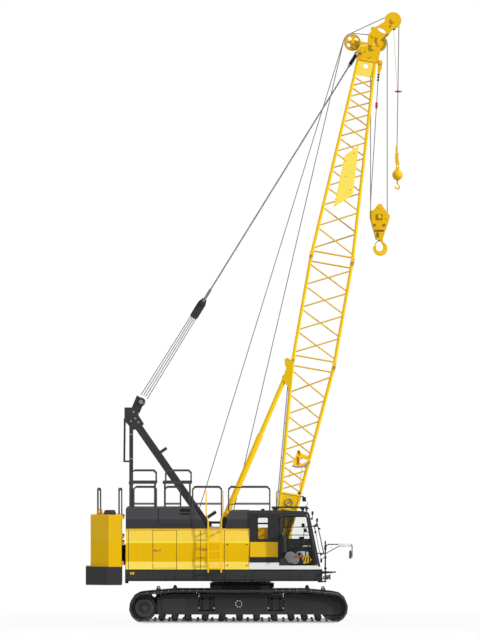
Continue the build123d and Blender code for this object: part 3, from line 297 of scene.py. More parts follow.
# the boom's own lines: where its sections end, and its half depth and half width there
boomPlan = {"lean": 80, "baseEnd": 5.82, "insertEnd": 8.87, "headBase": 14.66, "footDepth": 0.105, "depth": 0.6,
            "headDepth": 0.245, "halfWidth": 0.62, "headHalfWidth": 0.265}
boomFoot = joint("boom_luff")
boomLean = math.radians(boomPlan["lean"])
boomAlong = Vector((math.cos(boomLean), 0, math.sin(boomLean)))
boomFront = Vector((math.sin(boomLean), 0, -math.cos(boomLean)))
baseRise = (boomPlan["depth"] - boomPlan["footDepth"]) / boomPlan["baseEnd"]
topFall = (boomPlan["depth"] - boomPlan["headDepth"]) / (boomPlan["headBase"] - boomPlan["insertEnd"])
topReach = boomPlan["depth"] + topFall * boomPlan["insertEnd"]


def makeLacingMask():
    # 1 on the thin bracing of the boom, 0 on its corner tubes; it places the bracing's painted shade
    group, start, end = newGroup("lacingMask", {"Reach": 0.062}, ["Mask"])

    def add(first, second):
        return mathNode(group, "ADD", first, second)

    def times(first, second):
        return mathNode(group, "MULTIPLY", first, second)

    def gap(first, second):
        # distance between the size of one value and another
        return mathNode(group, "ABSOLUTE", mathNode(group, "SUBTRACT", mathNode(group, "ABSOLUTE", first), second))

    place = splitVector(group, objectPlace(group))
    x, z = add(place["X"], -boomFoot.x), add(place["Z"], -boomFoot.z)
    along = add(times(x, boomAlong.x), times(z, boomAlong.z))
    across = add(times(x, boomFront.x), times(z, boomFront.z))
    fall = add(times(along, -topFall), topReach)
    rise = add(times(along, baseRise), boomPlan["footDepth"])
    depth = mathNode(group, "MINIMUM", mathNode(group, "MINIMUM", rise, fall), boomPlan["depth"])
    half = mathNode(group, "MINIMUM", add(fall, 0.02), boomPlan["halfWidth"])
    far = mathNode(group, "MAXIMUM", gap(across, depth), gap(place["Y"], half))
    thin = mathNode(group, "GREATER_THAN", far, start["Reach"])
    laced = times(mathNode(group, "GREATER_THAN", along, 2.05), mathNode(group, "LESS_THAN", along, 14.2))
    group.links.new(times(thin, laced), end["Mask"])
    return group


def makeRopeLay():
    # ridges of the strands, slanted across a rope that runs along Turn's direction, and the painted shade in the
    # grooves between them
    group, start, end = newGroup("ropeLay", {"Turn": (0, 0, 0), "Pitch": 60.0}, ["Height", "GrooveShade"])
    turn = addNode(group, "Mapping", {"Vector": objectPlace(group), "Rotation": start["Turn"]}).outputs[0]
    wave = addNode(group, "TexWave", {"Vector": turn, "Scale": start["Pitch"], "Distortion": 0.0},
                   wave_type="BANDS", bands_direction="DIAGONAL").outputs["Fac"]
    group.links.new(wave, end["Height"])
    group.links.new(mathNode(group, "POWER", mathNode(group, "SUBTRACT", 1.0, wave), 3.0), end["GrooveShade"])
    return group


edgeWear = makeEdgeWear()
dust = makeDust()
paintGrain = makePaintGrain()
rainStreaks = makeRainStreaks()
upwardMask = makeUpwardMask()
boxMask = makeBoxMask()
lacingMask = makeLacingMask()
ropeLay = makeRopeLay()

# ---- finishes


def startFinish(name):
    material = bpy.data.materials.new(name)
    material.use_nodes = True
    tree = material.node_tree
    return material, tree, tree.nodes["Principled BSDF"]


def groupNode(tree, group, **values):
    # one of the shared groups; an underscore in a name stands for a space
    node = tree.nodes.new("ShaderNodeGroup")
    node.node_tree = group
    for label, value in values.items():
        node.inputs[label.replace("_", " ")].default_value = value
    return node.outputs


def colourMix(tree, share, under, over):
    node = addNode(tree, "Mix", data_type="RGBA")
    sockets = {s.identifier: s for s in node.inputs}
    for key, value in (("Factor_Float", share), ("A_Color", under), ("B_Color", over)):
        if isinstance(value, bpy.types.NodeSocket):
            tree.links.new(value, sockets[key])
        else:
            sockets[key].default_value = value
    return [s for s in node.outputs if s.identifier == "Result_Color"][0]


def shade(colour, factor):
    return tuple(min(1.0, c * factor) for c in rgb(colour)[:3]) + (1.0,)


def bandsOver(tree, base, bands):
    # colours of painted bands, each given by its low corner, high corner and colour
    for low, high, other in bands:
        base = colourMix(tree, groupNode(tree, boxMask, Low=low, High=high)["Mask"], base, rgb(other))
    return base


def bumpFrom(tree, height, strength, distance, shader):
    bump = addNode(tree, "Bump", {"Strength": strength, "Distance": distance, "Height": height})
    tree.links.new(bump.outputs[0], shader.inputs["Normal"])


def paint(name, roughness=0.4, colour=None, coat=0.0, wear=0.5, wearWidth=0.012, wearColour=(0.16, 0.15, 0.14, 1),
          grime=0.4, grimeHeight=1.2, streaks=0.12, tone=0.12, specular=0.3, paintedLight=None, lacingShade=None, bands=()):
    # sprayed finish with tone change, streaks, dust and worn edges, with optional painted light on faces that lean up,
    # painted shade on the boom's bracing and painted bands
    material, tree, shader = startFinish(name)
    colour = colour or name
    grain = groupNode(tree, paintGrain)
    base = colourMix(tree, grain["Tone"], shade(colour, 1 - tone), shade(colour, 1 + tone))
    # faces that lean up get a paler colour: painted light from the sky
    if paintedLight:
        base = colourMix(tree, groupNode(tree, upwardMask)["Mask"], base, rgb(paintedLight))
    # the boom's bracing gets a darker yellow: painted shade
    if lacingShade:
        base = colourMix(tree, groupNode(tree, lacingMask)["Mask"], base, rgb(lacingShade))
    base = bandsOver(tree, base, bands)
    base = colourMix(tree, groupNode(tree, rainStreaks, Amount=streaks)["Mask"], base, shade(colour, 0.45))
    lying = groupNode(tree, dust, Amount=grime, Height=grimeHeight)["Mask"]
    base = colourMix(tree, lying, base, (0.33, 0.29, 0.23, 1))
    worn = groupNode(tree, edgeWear, Width=wearWidth, Amount=wear)["Mask"]
    tree.links.new(colourMix(tree, worn, base, wearColour), shader.inputs["Base Color"])
    gloss = mathNode(tree, "MULTIPLY", mathNode(tree, "SUBTRACT", grain["Gloss"], 0.5), 0.22)
    rough = mathNode(tree, "ADD", gloss, roughness)
    rough = mathNode(tree, "ADD", rough, mathNode(tree, "MULTIPLY", lying, 0.4), True)
    tree.links.new(rough, shader.inputs["Roughness"])
    shader.inputs["Specular IOR Level"].default_value = specular
    shader.inputs["Coat Weight"].default_value = coat
    shader.inputs["Coat Roughness"].default_value = 0.12
    bumpFrom(tree, grain["Height"], 0.04, 0.002, shader)
    return material


def wornSteel(name, roughness=0.45, colour=None, metallic=0.8, polish=0.6, grime=0.5, grimeHeight=1.4, bands=()):
    # bare or thinly painted steel: scratched bright on its edges and dull between
    material, tree, shader = startFinish(name)
    colour = colour or name
    grain = groupNode(tree, paintGrain, Tone_Scale=2.6, Peel_Scale=90.0)
    base = colourMix(tree, grain["Tone"], shade(colour, 0.7), shade(colour, 1.35))
    base = bandsOver(tree, base, bands)
    lying = groupNode(tree, dust, Amount=grime, Height=grimeHeight)["Mask"]
    base = colourMix(tree, lying, base, (0.25, 0.22, 0.18, 1))
    worn = groupNode(tree, edgeWear, Width=0.01, Amount=polish)["Mask"]
    tree.links.new(colourMix(tree, worn, base, (0.42, 0.41, 0.40, 1)), shader.inputs["Base Color"])
    rough = mathNode(tree, "ADD", mathNode(tree, "MULTIPLY", grain["Gloss"], 0.35), roughness - 0.17, True)
    tree.links.new(rough, shader.inputs["Roughness"])
    shader.inputs["Metallic"].default_value = metallic
    bumpFrom(tree, grain["Height"], 0.25, 0.003, shader)
    return material


def rope(name, lean):
    # greased wire whose strands slant across the rope; lean in degrees lays the pattern along it
    material, tree, shader = startFinish(name)
    lay = groupNode(tree, ropeLay, Turn=(0, math.radians(lean), 0), Pitch=62.0)
    grain = groupNode(tree, paintGrain, Tone_Scale=1.4)
    base = colourMix(tree, grain["Tone"], shade("rope", 0.75), shade("rope", 1.3))
    # the grooves between the strands are painted darker: painted shade
    tree.links.new(colourMix(tree, lay["GrooveShade"], base, shade("rope", 0.25)), shader.inputs["Base Color"])
    shader.inputs["Metallic"].default_value = 0.55
    rough = mathNode(tree, "ADD", mathNode(tree, "MULTIPLY", grain["Gloss"], 0.3), 0.3)
    tree.links.new(rough, shader.inputs["Roughness"])
    bumpFrom(tree, lay["Height"], 0.7, 0.004, shader)
    return material


def clearGlass(name, tint, dirt=0.12):
    # see-through pane with faint smears
    material, tree, shader = startFinish(name)
    smear = groupNode(tree, paintGrain, Tone_Scale=1.7)
    shader.inputs["Base Color"].default_value = tint
    shader.inputs["Metallic"].default_value = 0.0
    shader.inputs["IOR"].default_value = 1.45
    tree.links.new(mathNode(tree, "MULTIPLY", smear["Gloss"], dirt), shader.inputs["Roughness"])
    alpha = mathNode(tree, "ADD", mathNode(tree, "MULTIPLY", smear["Tone"], 0.06), 0.02)
    tree.links.new(alpha, shader.inputs["Alpha"])
    return material


def moulded(name, roughness=0.55, grain=260.0):
    # moulded plastic or rubber with a fine leathery grain
    material, tree, shader = startFinish(name)
    skin = groupNode(tree, paintGrain, Tone_Scale=3.0, Peel_Scale=grain)
    base = colourMix(tree, skin["Tone"], shade(name, 0.9), shade(name, 1.1))
    worn = groupNode(tree, edgeWear, Width=0.008, Amount=0.15)["Mask"]
    tree.links.new(colourMix(tree, worn, base, shade(name, 2.2)), shader.inputs["Base Color"])
    rough = mathNode(tree, "ADD", mathNode(tree, "MULTIPLY", skin["Gloss"], 0.25), roughness - 0.12)
    tree.links.new(rough, shader.inputs["Roughness"])
    shader.inputs["Specular IOR Level"].default_value = 0.2
    bumpFrom(tree, skin["Height"], 0.3, 0.001, shader)
    return material


greyEdge = (0.22, 0.215, 0.21, 1)
greyPaint = {"wearColour": greyEdge, "specular": 0.22, "tone": 0.08}
boomPaint = {"coat": 0.06, "wear": 0.25, "grime": 0.06, "streaks": 0.05, "tone": 0.04,
             "bands": (((3.30, -0.2965, 15.70), (3.84, -0.288, 16.14), "signYellow"),)}
finishes = {made.name: made for made in (
    # the panels get painted light: a paler colour on faces that lean up, and painted highlight bands along the two
    # folds and the bottom edge
    paint("panelYellow", 0.36, coat=0.04, wear=0.22, grime=0.1, tone=0.04, specular=0.1, paintedLight="paintedLightYellow",
          bands=(((-3.4, -1.7, 2.290), (0.3, -1.5, 2.325), "highlightYellow"),
                 ((-3.4, -1.7, 1.695), (0.3, -1.5, 1.75), "paintedLightYellow"),
                 ((-3.4, -1.7, 1.5), (0.3, -1.5, 1.565), "highlightYellow"))),
    paint("ladderYellow", colour="boomYellow", wear=0.3, grime=0.05, tone=0.03, specular=0.1),
    paint("boomYellow", specular=0.15, **boomPaint),
    # the boom's bracing is painted a darker yellow than its corner tubes: painted shade
    paint("latticeYellow", colour="boomYellow", specular=0.12, lacingShade="lacingShadeYellow", **boomPaint),
    paint("hookYellow", 0.42, coat=0.05, wear=0.45, grime=0.1, tone=0.08, specular=0.15),
    paint("signYellow", coat=0.1, wear=0.15, grime=0.05, tone=0.03, specular=0.15),
    paint("brownShade", 0.5, wear=0.2, grime=0.1, tone=0.1, specular=0.1),
    # a dull yellow that mostly stands for shade: painted shade on the head, its guide brackets, pulley rings and hook
    # block
    paint("dullShadeYellow", 0.5, wear=0.3, grime=0.1, specular=0.1),
    paint("upperWeight", colour="panelYellow", coat=0.1, wear=0.3, grime=0.12, tone=0.06, specular=0.18,
          bands=(((-3.975, -2, 3.098), (-3.5, 2, 3.3), "darkGrey"),)),
    paint("darkGrey", 0.5, wear=0.3, grime=0.2, tone=0.1, specular=0.2, wearColour=greyEdge),
    # the hood's top band above the crease, which leans up, is painted paler: painted light
    paint("hoodGrey", 0.5, "darkGrey", wear=0.3, grime=0.15, tone=0.08, specular=0.2, wearColour=greyEdge,
          bands=(((-3.4, -1.6, 2.966), (0.3, 1.6, 3.4), "hoodLitGrey"),)),
    paint("slate", 0.55, wear=0.4, grime=0.2, grimeHeight=0.7, specular=0.22, wearColour=greyEdge),
    paint("coverGrey", 0.5, wear=0.3, grime=0.1, **greyPaint),
    paint("cabDark", 0.45, coat=0.1, wear=0.2, grime=0.1, **greyPaint),
    paint("cabPanels", 0.42, "cabDark", coat=0.1, wear=0.2, grime=0.1,
          bands=(((0, -2, 1.5), (1.2, -1.5, 1.725), "bandWhite"),
                 ((0.24, -2, 1.88), (1.06, -1.6005, 2.32), "panelYellow")), **greyPaint),
    paint("rail", 0.5, wear=0.3, grime=0.08, tone=0.1, specular=0.25, wearColour=greyEdge),
    paint("socketBlack", 0.5, wear=0.15, grime=0.02, tone=0.05, specular=0.15, wearColour=greyEdge),
    paint("bandWhite", coat=0.1, wear=0.12, grime=0.12, streaks=0.05, tone=0.03),
    paint("lampWhite", 0.15, "bandWhite", coat=0.6, wear=0.0, grime=0.03, tone=0.02, specular=0.5),
    paint("red", coat=0.1, wear=0.25, grime=0.1, tone=0.08, specular=0.2),
    paint("amber", 0.3, coat=0.3, wear=0.0, grime=0.05, tone=0.03),
    paint("scaleGrey", wear=0.1, grime=0.05, tone=0.04),
    wornSteel("bronze", 0.35, metallic=0.7, grime=0.05),
    # the pale band along the tracks' lower run is painted light, the floor's bright bounce on the shoes
    wornSteel("shoe", 0.5, metallic=0.5, grime=0.45, grimeHeight=0.5,
              bands=(((-2.9, -3, -0.01), (2.75, 3, 0.045), "floorLitSteel"),)),
    wornSteel("roller", 0.55, "rollerDark", metallic=0.5, polish=0.35, grime=0.12),
    wornSteel("machined", 0.3, "steel", metallic=0.9, grime=0.1),
    wornSteel("mirror", 0.2, "bandWhite", metallic=1.0, polish=0.0, grime=0.05),
    moulded("seatGrey", 0.6), moulded("rubber", 0.7), moulded("seat", 0.75, 420.0), moulded("black", 0.5),
    clearGlass("glass", (0.06, 0.08, 0.08, 1)),
    rope("stayRope", 58), rope("hoistRope", 72), rope("hangingRope", 90),
)}
nodeFinish = {
    "shoe": ("track_right", "track_left"),
    "slate": ("side_frame_right", "side_frame_left", "drive_sprocket_right", "drive_sprocket_left", "idler_right",
              "idler_left", "carbody"),
    "roller": ("track_rollers_right", "track_rollers_left", "engine_block"),
    "panelYellow": ("side_housing_right", "side_housing_left", "housing_door", "counterweight_lower"),
    "upperWeight": ("counterweight_upper",),
    "hoodGrey": ("rear_hoods", "front_covers"),
    "darkGrey": ("deck", "counterweight_base", "gantry", "winch_drums", "cab_roof", "cab_front_frame", "cab_door",
                 "bridle"),
    "machined": ("gantry_pulleys",),
    "ladderYellow": ("side_ladder",),
    "rail": ("handrails", "mirror_frame"),
    "bandWhite": ("cab_floor",),
    "cabPanels": ("cab_rear_shell",),
    "cabDark": ("cab_inner_wall",),
    "glass": ("cab_glass", "door_glass"),
    "seat": ("operator_seat",),
    "black": ("cab_console",),
    "latticeYellow": ("boom_base", "boom_insert", "boom_top"),
    "hookYellow": ("boom_head", "head_pulleys", "hook_block", "aux_ball"),
    "boomYellow": ("backstop_tubes", "backstop_rods"),
    "stayRope": ("falls_bridle", "pendants", "falls_gantry", "falls_middle"),
    "hoistRope": ("hoist_line_rear", "hoist_line_front", "hoist_tail_rear", "hoist_tail_front"),
    "hangingRope": ("main_falls", "aux_rope"),
}
for finish, names in nodeFinish.items():
    for name in names:
        mesh = nodes[name].data
        mesh.materials.clear()
        mesh.materials.append(finishes[finish])
print("finishes are on the nodes")

# ---- modelling helpers


def activate(*pieces):
    bpy.ops.object.select_all(action="DESELECT")
    for piece in pieces:
        piece.select_set(True)
    if pieces:
        bpy.context.view_layer.objects.active = pieces[0]


def settle(piece):
    # place, turn and size go into the mesh
    activate(piece)
    bpy.ops.object.transform_apply(location=True, rotation=True, scale=True)


def enter(piece, select="DESELECT"):
    activate(piece)
    bpy.ops.object.mode_set(mode="EDIT")
    bpy.ops.mesh.select_mode(type="FACE")
    bpy.ops.mesh.select_all(action=select)


def leave():
    bpy.ops.object.mode_set(mode="OBJECT")


def pickFaces(piece, test):
    # selects the faces whose centre and normal pass the test
    mesh = bmesh.from_edit_mesh(piece.data)
    for face in mesh.faces:
        face.select_set(test(face.calc_center_median(), face.normal))
    bmesh.update_edit_mesh(piece.data)


def extrude(shift):
    bpy.ops.mesh.extrude_region_move(TRANSFORM_OT_translate={"value": shift})


def modified(piece, kind, **settings):
    activate(piece)
    modifier = piece.modifiers.new(kind.lower(), kind)
    for name, value in settings.items():
        setattr(modifier, name, value)
    bpy.ops.object.modifier_apply(modifier=modifier.name)


def smoothed(piece, angle=35):
    activate(piece)
    bpy.ops.object.shade_smooth_by_angle(angle=math.radians(angle))
    return piece


def aimed(piece, centre, normal):
    # turns the piece's own upright to the normal and sets it at its place
    piece.rotation_mode = "QUATERNION"
    piece.rotation_quaternion = Vector(normal).to_track_quat("Z", "Y")
    piece.location = centre
    settle(piece)
    return piece


def cylinder(sides, radius, depth, middle=0):
    activate()
    bpy.ops.mesh.primitive_cylinder_add(vertices=sides, radius=radius, depth=depth, location=(0, 0, middle))
    return bpy.context.active_object


def softBlock(low, high, bevel=0.006, segments=2):
    # box between two opposite corners with rounded edges
    activate()
    bpy.ops.mesh.primitive_cube_add(size=1, location=[(a + b) / 2 for a, b in zip(low, high)])
    piece = bpy.context.active_object
    piece.scale = [abs(b - a) for a, b in zip(low, high)]
    settle(piece)
    enter(piece, "SELECT")
    bpy.ops.mesh.bevel(offset=bevel, segments=segments, affect="EDGES")
    leave()
    return piece


def blockAround(middle, size, bevel=0.006, segments=2):
    # rounded box with half its size on each side of its middle
    middle, size = Vector(middle), Vector(size)
    return softBlock(middle - size, middle + size, bevel, segments)


def roundRod(start, end, radius, sides=16, bevel=0.0):
    # rod between two points with bevelled ends
    run = Vector(end) - Vector(start)
    piece = cylinder(sides, radius, run.length)
    if bevel:
        enter(piece)
        pickFaces(piece, lambda centre, normal: abs(normal.z) > 0.9)
        bpy.ops.mesh.bevel(offset=bevel, segments=2, affect="EDGES")
        leave()
    return aimed(piece, Vector(start) + run / 2, run)


def bentTube(points, radius, closed=False, resolution=4, thickness=None):
    # round tube along a route, made a mesh; thickness gives each point its share of the radius
    activate()
    data = bpy.data.curves.new("route", "CURVE")
    data.dimensions = "3D"
    data.bevel_depth = radius
    data.bevel_resolution = resolution
    data.use_fill_caps = not closed
    spline = data.splines.new("POLY")
    spline.points.add(len(points) - 1)
    for i, (point, place) in enumerate(zip(spline.points, points)):
        point.co = (*place, 1)
        point.radius = thickness[i] if thickness else 1.0
    spline.use_cyclic_u = closed
    piece = bpy.data.objects.new("tube", data)
    scene.collection.objects.link(piece)
    activate(piece)
    bpy.ops.object.convert(target="MESH")
    return smoothed(bpy.context.active_object, 40)


def cutPlate(corners, thickness, bevel=0.003):
    # flat plate with the given corners, thickened along its own normal
    activate()
    bpy.ops.mesh.primitive_circle_add(vertices=len(corners), fill_type="NGON")
    piece = bpy.context.active_object
    for vertex, corner in zip(piece.data.vertices, corners):
        vertex.co = corner
    piece.data.update()
    push = piece.data.polygons[0].normal * thickness
    enter(piece, "SELECT")
    extrude(push)
    bpy.ops.mesh.select_all(action="SELECT")
    bpy.ops.mesh.normals_make_consistent(inside=False)
    leave()
    if bevel:
        modified(piece, "BEVEL", width=bevel, segments=2, limit_method="ANGLE")
    return piece


def onSide(outline, y):
    # places at one distance from the middle of the machine, from pairs of x and z
    return [Vector((x, y, z)) for x, z in outline]


def sidePlate(outline, y, thickness, bevel=0.003):
    return cutPlate(onSide(outline, y), thickness, bevel)


def ringPiece(centre, normal, inner, outer, thickness, sides=32, bevel=0.003):
    # flat ring: a cylinder whose end faces are inset and bridged through
    piece = cylinder(sides, outer, thickness)
    enter(piece)
    pickFaces(piece, lambda middle, facing: abs(facing.z) > 0.9)
    bpy.ops.mesh.inset(thickness=outer - inner, use_individual=True)
    bpy.ops.mesh.bridge_edge_loops()
    leave()
    if bevel:
        modified(piece, "BEVEL", width=bevel, segments=2, limit_method="ANGLE", angle_limit=math.radians(50))
    return smoothed(aimed(piece, centre, normal))


def cap(centre, normal, radius, height, sides=24, step=0.25):
    # round cover with a chamfered rim and a shallow raised middle
    piece = cylinder(sides, radius, height, height / 2)
    settle(piece)
    enter(piece)
    pickFaces(piece, lambda middle, facing: facing.z > 0.9)
    bpy.ops.mesh.bevel(offset=height * step, segments=2, affect="EDGES")
    pickFaces(piece, lambda middle, facing: facing.z > 0.98 and middle.xy.length < 0.01)
    bpy.ops.mesh.inset(thickness=radius * 0.35)
    extrude((0, 0, height * 0.25))
    leave()
    return smoothed(aimed(piece, centre, normal))


def bolts(places, normal, radius=0.014, height=0.012):
    # hexagon-like head on a washer at each place, all facing the same way, each with its own mesh
    washer = cylinder(12, radius * 1.5, height * 0.35, height * 0.17)
    enter(washer)
    pickFaces(washer, lambda middle, facing: facing.z > 0.9)
    bpy.ops.mesh.inset(thickness=radius * 0.5)
    extrude((0, 0, height * 0.65))
    leave()
    aimed(washer, (0, 0, 0), normal)
    copies = []
    for place in places:
        copy = washer.copy()
        copy.data = washer.data.copy()
        copy.location = place
        scene.collection.objects.link(copy)
        copies.append(copy)
    bpy.data.objects.remove(washer)
    return copies


def around(x, z, y, radius, turns):
    # places round a centre in the machine's upright plane
    return [Vector((x + radius * math.cos(t), y, z + radius * math.sin(t))) for t in turns]


def arc(centre, radius, first, last, steps=16):
    # points round a centre in the machine's upright plane, angles from forward towards up
    turns = [math.radians(first + (last - first) * i / steps) for i in range(steps + 1)]
    return around(centre[0], centre[2], centre[1], radius, turns)


def fullTurn(count, shift=0.0):
    return [math.tau * (i + shift) / count for i in range(count)]


def rounded(corners, radius, steps=4):
    # the same closed outline with its corners rounded
    points = []
    count = len(corners)
    for i in range(count):
        before, corner, after = (Vector(corners[(i + k) % count]) for k in (-1, 0, 1))
        a = corner + (before - corner).normalized() * min(radius, (before - corner).length / 2)
        b = corner + (after - corner).normalized() * min(radius, (after - corner).length / 2)
        for step in range(steps + 1):
            t = step / steps
            points.append((1 - t) ** 2 * a + 2 * t * (1 - t) * corner + t * t * b)
    return points


def dressed(name, parts, finish):
    # the parts as one piece, with its finish and material slot
    activate(*parts)
    if len(parts) > 1:
        bpy.ops.object.join()
    piece = bpy.context.active_object
    piece.name = name
    settle(piece)
    piece.data.materials.clear()
    piece.data.materials.append(finishes[finish])
    return piece


def fit(name, parts, body, finish):
    piece = dressed(name, parts, finish)
    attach(piece, body)
    return piece


def bending(name, route, body, finish, end, **tube):
    # rope that bends from the boom to a body hanging on it, made as one fixed piece; body and end are not used
    piece = dressed(name, [bentTube(route, **tube)], finish)
    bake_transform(piece)


def onBoom(s, w, y=0.0):
    # place on the boom: s up its axis, w towards its front face, y to the left
    return boomFoot + boomAlong * s + boomFront * w + Vector((0, y, 0))


def boomSide(s):
    # half width of the boom at s
    return boomPlan["halfWidth"] - topFall * max(0, s - boomPlan["insertEnd"])


def boomDepth(s):
    # half depth of the boom at s
    return min(boomPlan["footDepth"] + baseRise * s, boomPlan["depth"], topReach - topFall * s)


print("helpers are ready")

# ---- boom: sign, gauge, head ropes and fastenings

signPlan = {"outline": ((11.884, -0.152), (12.228, 0.201), (10.801, 0.272), (10.351, -0.211)), "off": 0.030,
            "thickness": 0.012}
sign = cutPlate([onBoom(s, w, -boomSide(s) - signPlan["off"]) for s, w in signPlan["outline"]],
                signPlan["thickness"], 0.004)
signParts = [sign]
for s, w in ((11.75, -0.09), (12.0, 0.12), (10.95, 0.2), (10.6, -0.16), (11.3, 0.0)):
    signParts += bolts([onBoom(s, w, -boomSide(s) - signPlan["off"] - 0.012)], (0, -1, 0), 0.016, 0.012)
fit("boomSign", signParts, "boom", "signYellow")

gaugePlan = {
    "centre": onBoom(3.25, 0.01, -0.668), "radius": 0.43, "thickness": 0.014,
    "leftArm": ((-0.02, 0.06), (0.035, 0.06), (0.06, -0.25), (-0.02, -0.43), (-0.165, -0.40)),
    "rightArm": ((-0.02, 0.0), (0.035, 0.06), (0.10, -0.05), (0.27, -0.12), (0.31, -0.26), (0.06, -0.16)),
    "needle": ((-0.022, -0.14), (0.018, -0.14), (0.022, -0.37), (0.0, -0.40), (-0.018, -0.37)),
}
gaugeCentre = gaugePlan["centre"]
gaugeArms = [cutPlate([gaugeCentre + Vector((x, 0, z)) for x, z in gaugePlan[arm]], gaugePlan["thickness"], 0.002)
             for arm in ("leftArm", "rightArm")]
band = arc(gaugeCentre, 0.43, -112, -40, 12) + arc(gaugeCentre, 0.36, -40, -112, 12)
gaugeArms.append(cutPlate([point + Vector((0, 0.001, 0)) for point in band], gaugePlan["thickness"], 0.0))
gaugeArms += bolts([gaugeCentre + Vector((0.0, -0.014, 0.03)), gaugeCentre + Vector((0.24, -0.014, -0.17))],
                   (0, -1, 0), 0.014)
fit("angleGauge", gaugeArms, "boom", "boomYellow")
scalePoints = arc(gaugeCentre + Vector((0, -0.012, 0)), 0.437, -114, -38, 14)
fit("gaugeScale", [bentTube(scalePoints, 0.024, resolution=2)], "boom", "scaleGrey")
needle = cutPlate([gaugeCentre + Vector((x, -0.02, z)) for x, z in gaugePlan["needle"]], 0.01, 0.002)
fit("gaugeNeedle", [needle] + bolts([gaugeCentre + Vector((-0.002, -0.03, -0.16))], (0, -1, 0), 0.01),
    "boom", "red")
print("boom sign and gauge are made")

# ropes on the head: from the guide pulleys over to the main and jib pulleys

guide = onBoom(15.127, -0.495)
mainPulley = onBoom(15.216, 0.262)
jibPulley = onBoom(15.952, 0.542)
ropePlan = {"radius": 0.012, "guide": 0.258, "main": 0.240, "jib": 0.176}


def upperTangent(start, startRadius, end, endRadius):
    # angle in degrees at which a rope leaves one pulley's upper side for the next
    run = end - start
    across = math.atan2(run.z, run.x)
    return math.degrees(across + math.acos((startRadius - endRadius) / math.hypot(run.x, run.z)))


def headRope(startSide, endSide, target, reach, arrive):
    # wraps the guide pulley's top and lands on the target pulley's top
    leaveAngle = upperTangent(guide, ropePlan["guide"], target, reach)
    route = arc(guide + Vector((0, startSide, 0)), ropePlan["guide"], 166, leaveAngle, 12)
    route += arc(target + Vector((0, endSide, 0)), reach, leaveAngle, arrive, 4)
    return bentTube(route, ropePlan["radius"], resolution=2)


fit("headRopes", [headRope(-0.15, -0.077, mainPulley, ropePlan["main"], 72),
                         headRope(0.15, 0.0, jibPulley, ropePlan["jib"], 100)], "boom", "hoistRope")
turns = [arc(mainPulley + Vector((0, y, 0)), ropePlan["main"], 66, 0, 10) for y in (-0.05, 0.05)]
block = Vector((mainPulley.x, 0, 11.65))
turns += [arc(block + Vector((0, y, 0)), ropePlan["main"], -180, 0, 20) for y in (-0.05, 0.05)]
fit("fallTurns", [bentTube(route, ropePlan["radius"], resolution=2) for route in turns],
    "main_hook", "hangingRope")
fit("jibTurn", [bentTube(arc(jibPulley, ropePlan["jib"], 122, 0, 12), ropePlan["radius"], resolution=2)],
    "aux_hook", "hangingRope")

# dead end: wedge socket on the head, its clip, and the rope down to the block

deadPlan = {"pin": onBoom(14.691, 0.392, -0.265), "mouth": Vector((3.955, -0.255, 15.80)),
            "clipEnd": Vector((3.935, -0.245, 15.56)), "foot": Vector((3.723, -0.05, 12.06))}
pin, mouth = deadPlan["pin"], deadPlan["mouth"]
down = (mouth - pin).normalized()
aside = Vector((-down.z, 0, down.x))
socketShape = [pin + down * a + aside * b for a, b in
               ((-0.07, -0.035), (-0.07, 0.035), (0.02, 0.07), (0.18, 0.062), (0.32, 0.028), (0.34, 0.0),
                (0.32, -0.028), (0.18, -0.05), (0.02, -0.07))]
socketParts = [cutPlate([point + Vector((0, y, 0)) for point in socketShape], 0.018, 0.004) for y in (-0.045, 0.045)]
socketParts.append(cutPlate([pin + Vector((0, 0.03, 0)) + down * a + aside * b for a, b in
                             ((0.06, -0.045), (0.06, 0.045), (0.3, 0.02), (0.3, -0.02))], 0.05, 0.006))
socketParts += [cap(pin + Vector((0, y, 0)), (0, math.copysign(1, y), 0), 0.05, 0.022) for y in (-0.062, 0.05)]
fit("deadEndSocket", socketParts, "boom", "hookYellow")
clipParts = [roundRod(mouth, deadPlan["clipEnd"], 0.016, 12)]
for share in (0.15, 0.5, 0.85):
    middle = mouth.lerp(deadPlan["clipEnd"], share)
    clipParts.append(blockAround(middle, (0.036, 0.026, 0.02), 0.007))
fit("deadEndClips", clipParts, "boom", "black")
ropeSteps = [deadPlan["clipEnd"].lerp(deadPlan["foot"], i / 40) for i in range(41)]
weightTop = ropeSteps[0].lerp(ropeSteps[-1], 0.173)
weightFoot = ropeSteps[0].lerp(ropeSteps[-1], 0.222)
route = ropeSteps + [Vector((3.7233, -0.05, 11.65))]
bending("deadLine", route, "main_hook", "hangingRope", ropeSteps[7], radius=ropePlan["radius"], resolution=2)
weight = roundRod(weightTop, weightFoot, 0.036, 20, 0.006)
fit("deadLineWeight", [smoothed(weight)], "main_hook", "red")

# limit switch of the auxiliary hook: a red disc on its rope and the thin line that holds it

discPlan = {"centre": Vector((4.525, 0, 15.27)), "radius": 0.10, "height": 0.045,
            "lineTop": Vector((4.386, 0.05, 17.04))}
disc = roundRod(discPlan["centre"] - Vector((0, 0, 0.0225)), discPlan["centre"] + Vector((0, 0, 0.0225)),
                discPlan["radius"], 28, 0.008)
discRim = ringPiece(discPlan["centre"], (0, 0, 1), 0.02, 0.04, 0.06, 20, 0.004)
fit("switchDisc", [smoothed(disc), discRim], "aux_hook", "red")
lineFoot = discPlan["centre"] + Vector((-0.03, 0.05, 0.02))
lineSteps = [discPlan["lineTop"].lerp(lineFoot, i / 24) for i in range(25)]
bending("switchLine", lineSteps, "aux_hook", "machined", lineSteps[9], radius=0.005, resolution=1)
switchBox = softBlock(discPlan["lineTop"] - Vector((0.05, 0.04, 0.0)),
                      discPlan["lineTop"] + Vector((0.05, 0.04, 0.14)), 0.01)
fit("switchBox", [switchBox] + bolts([discPlan["lineTop"] + Vector((x, -0.04, 0.07)) for x in (-0.03, 0.03)],
                                            (0, -1, 0), 0.008, 0.006), "boom", "darkGrey")
print("head ropes, dead end and limit switch are made")

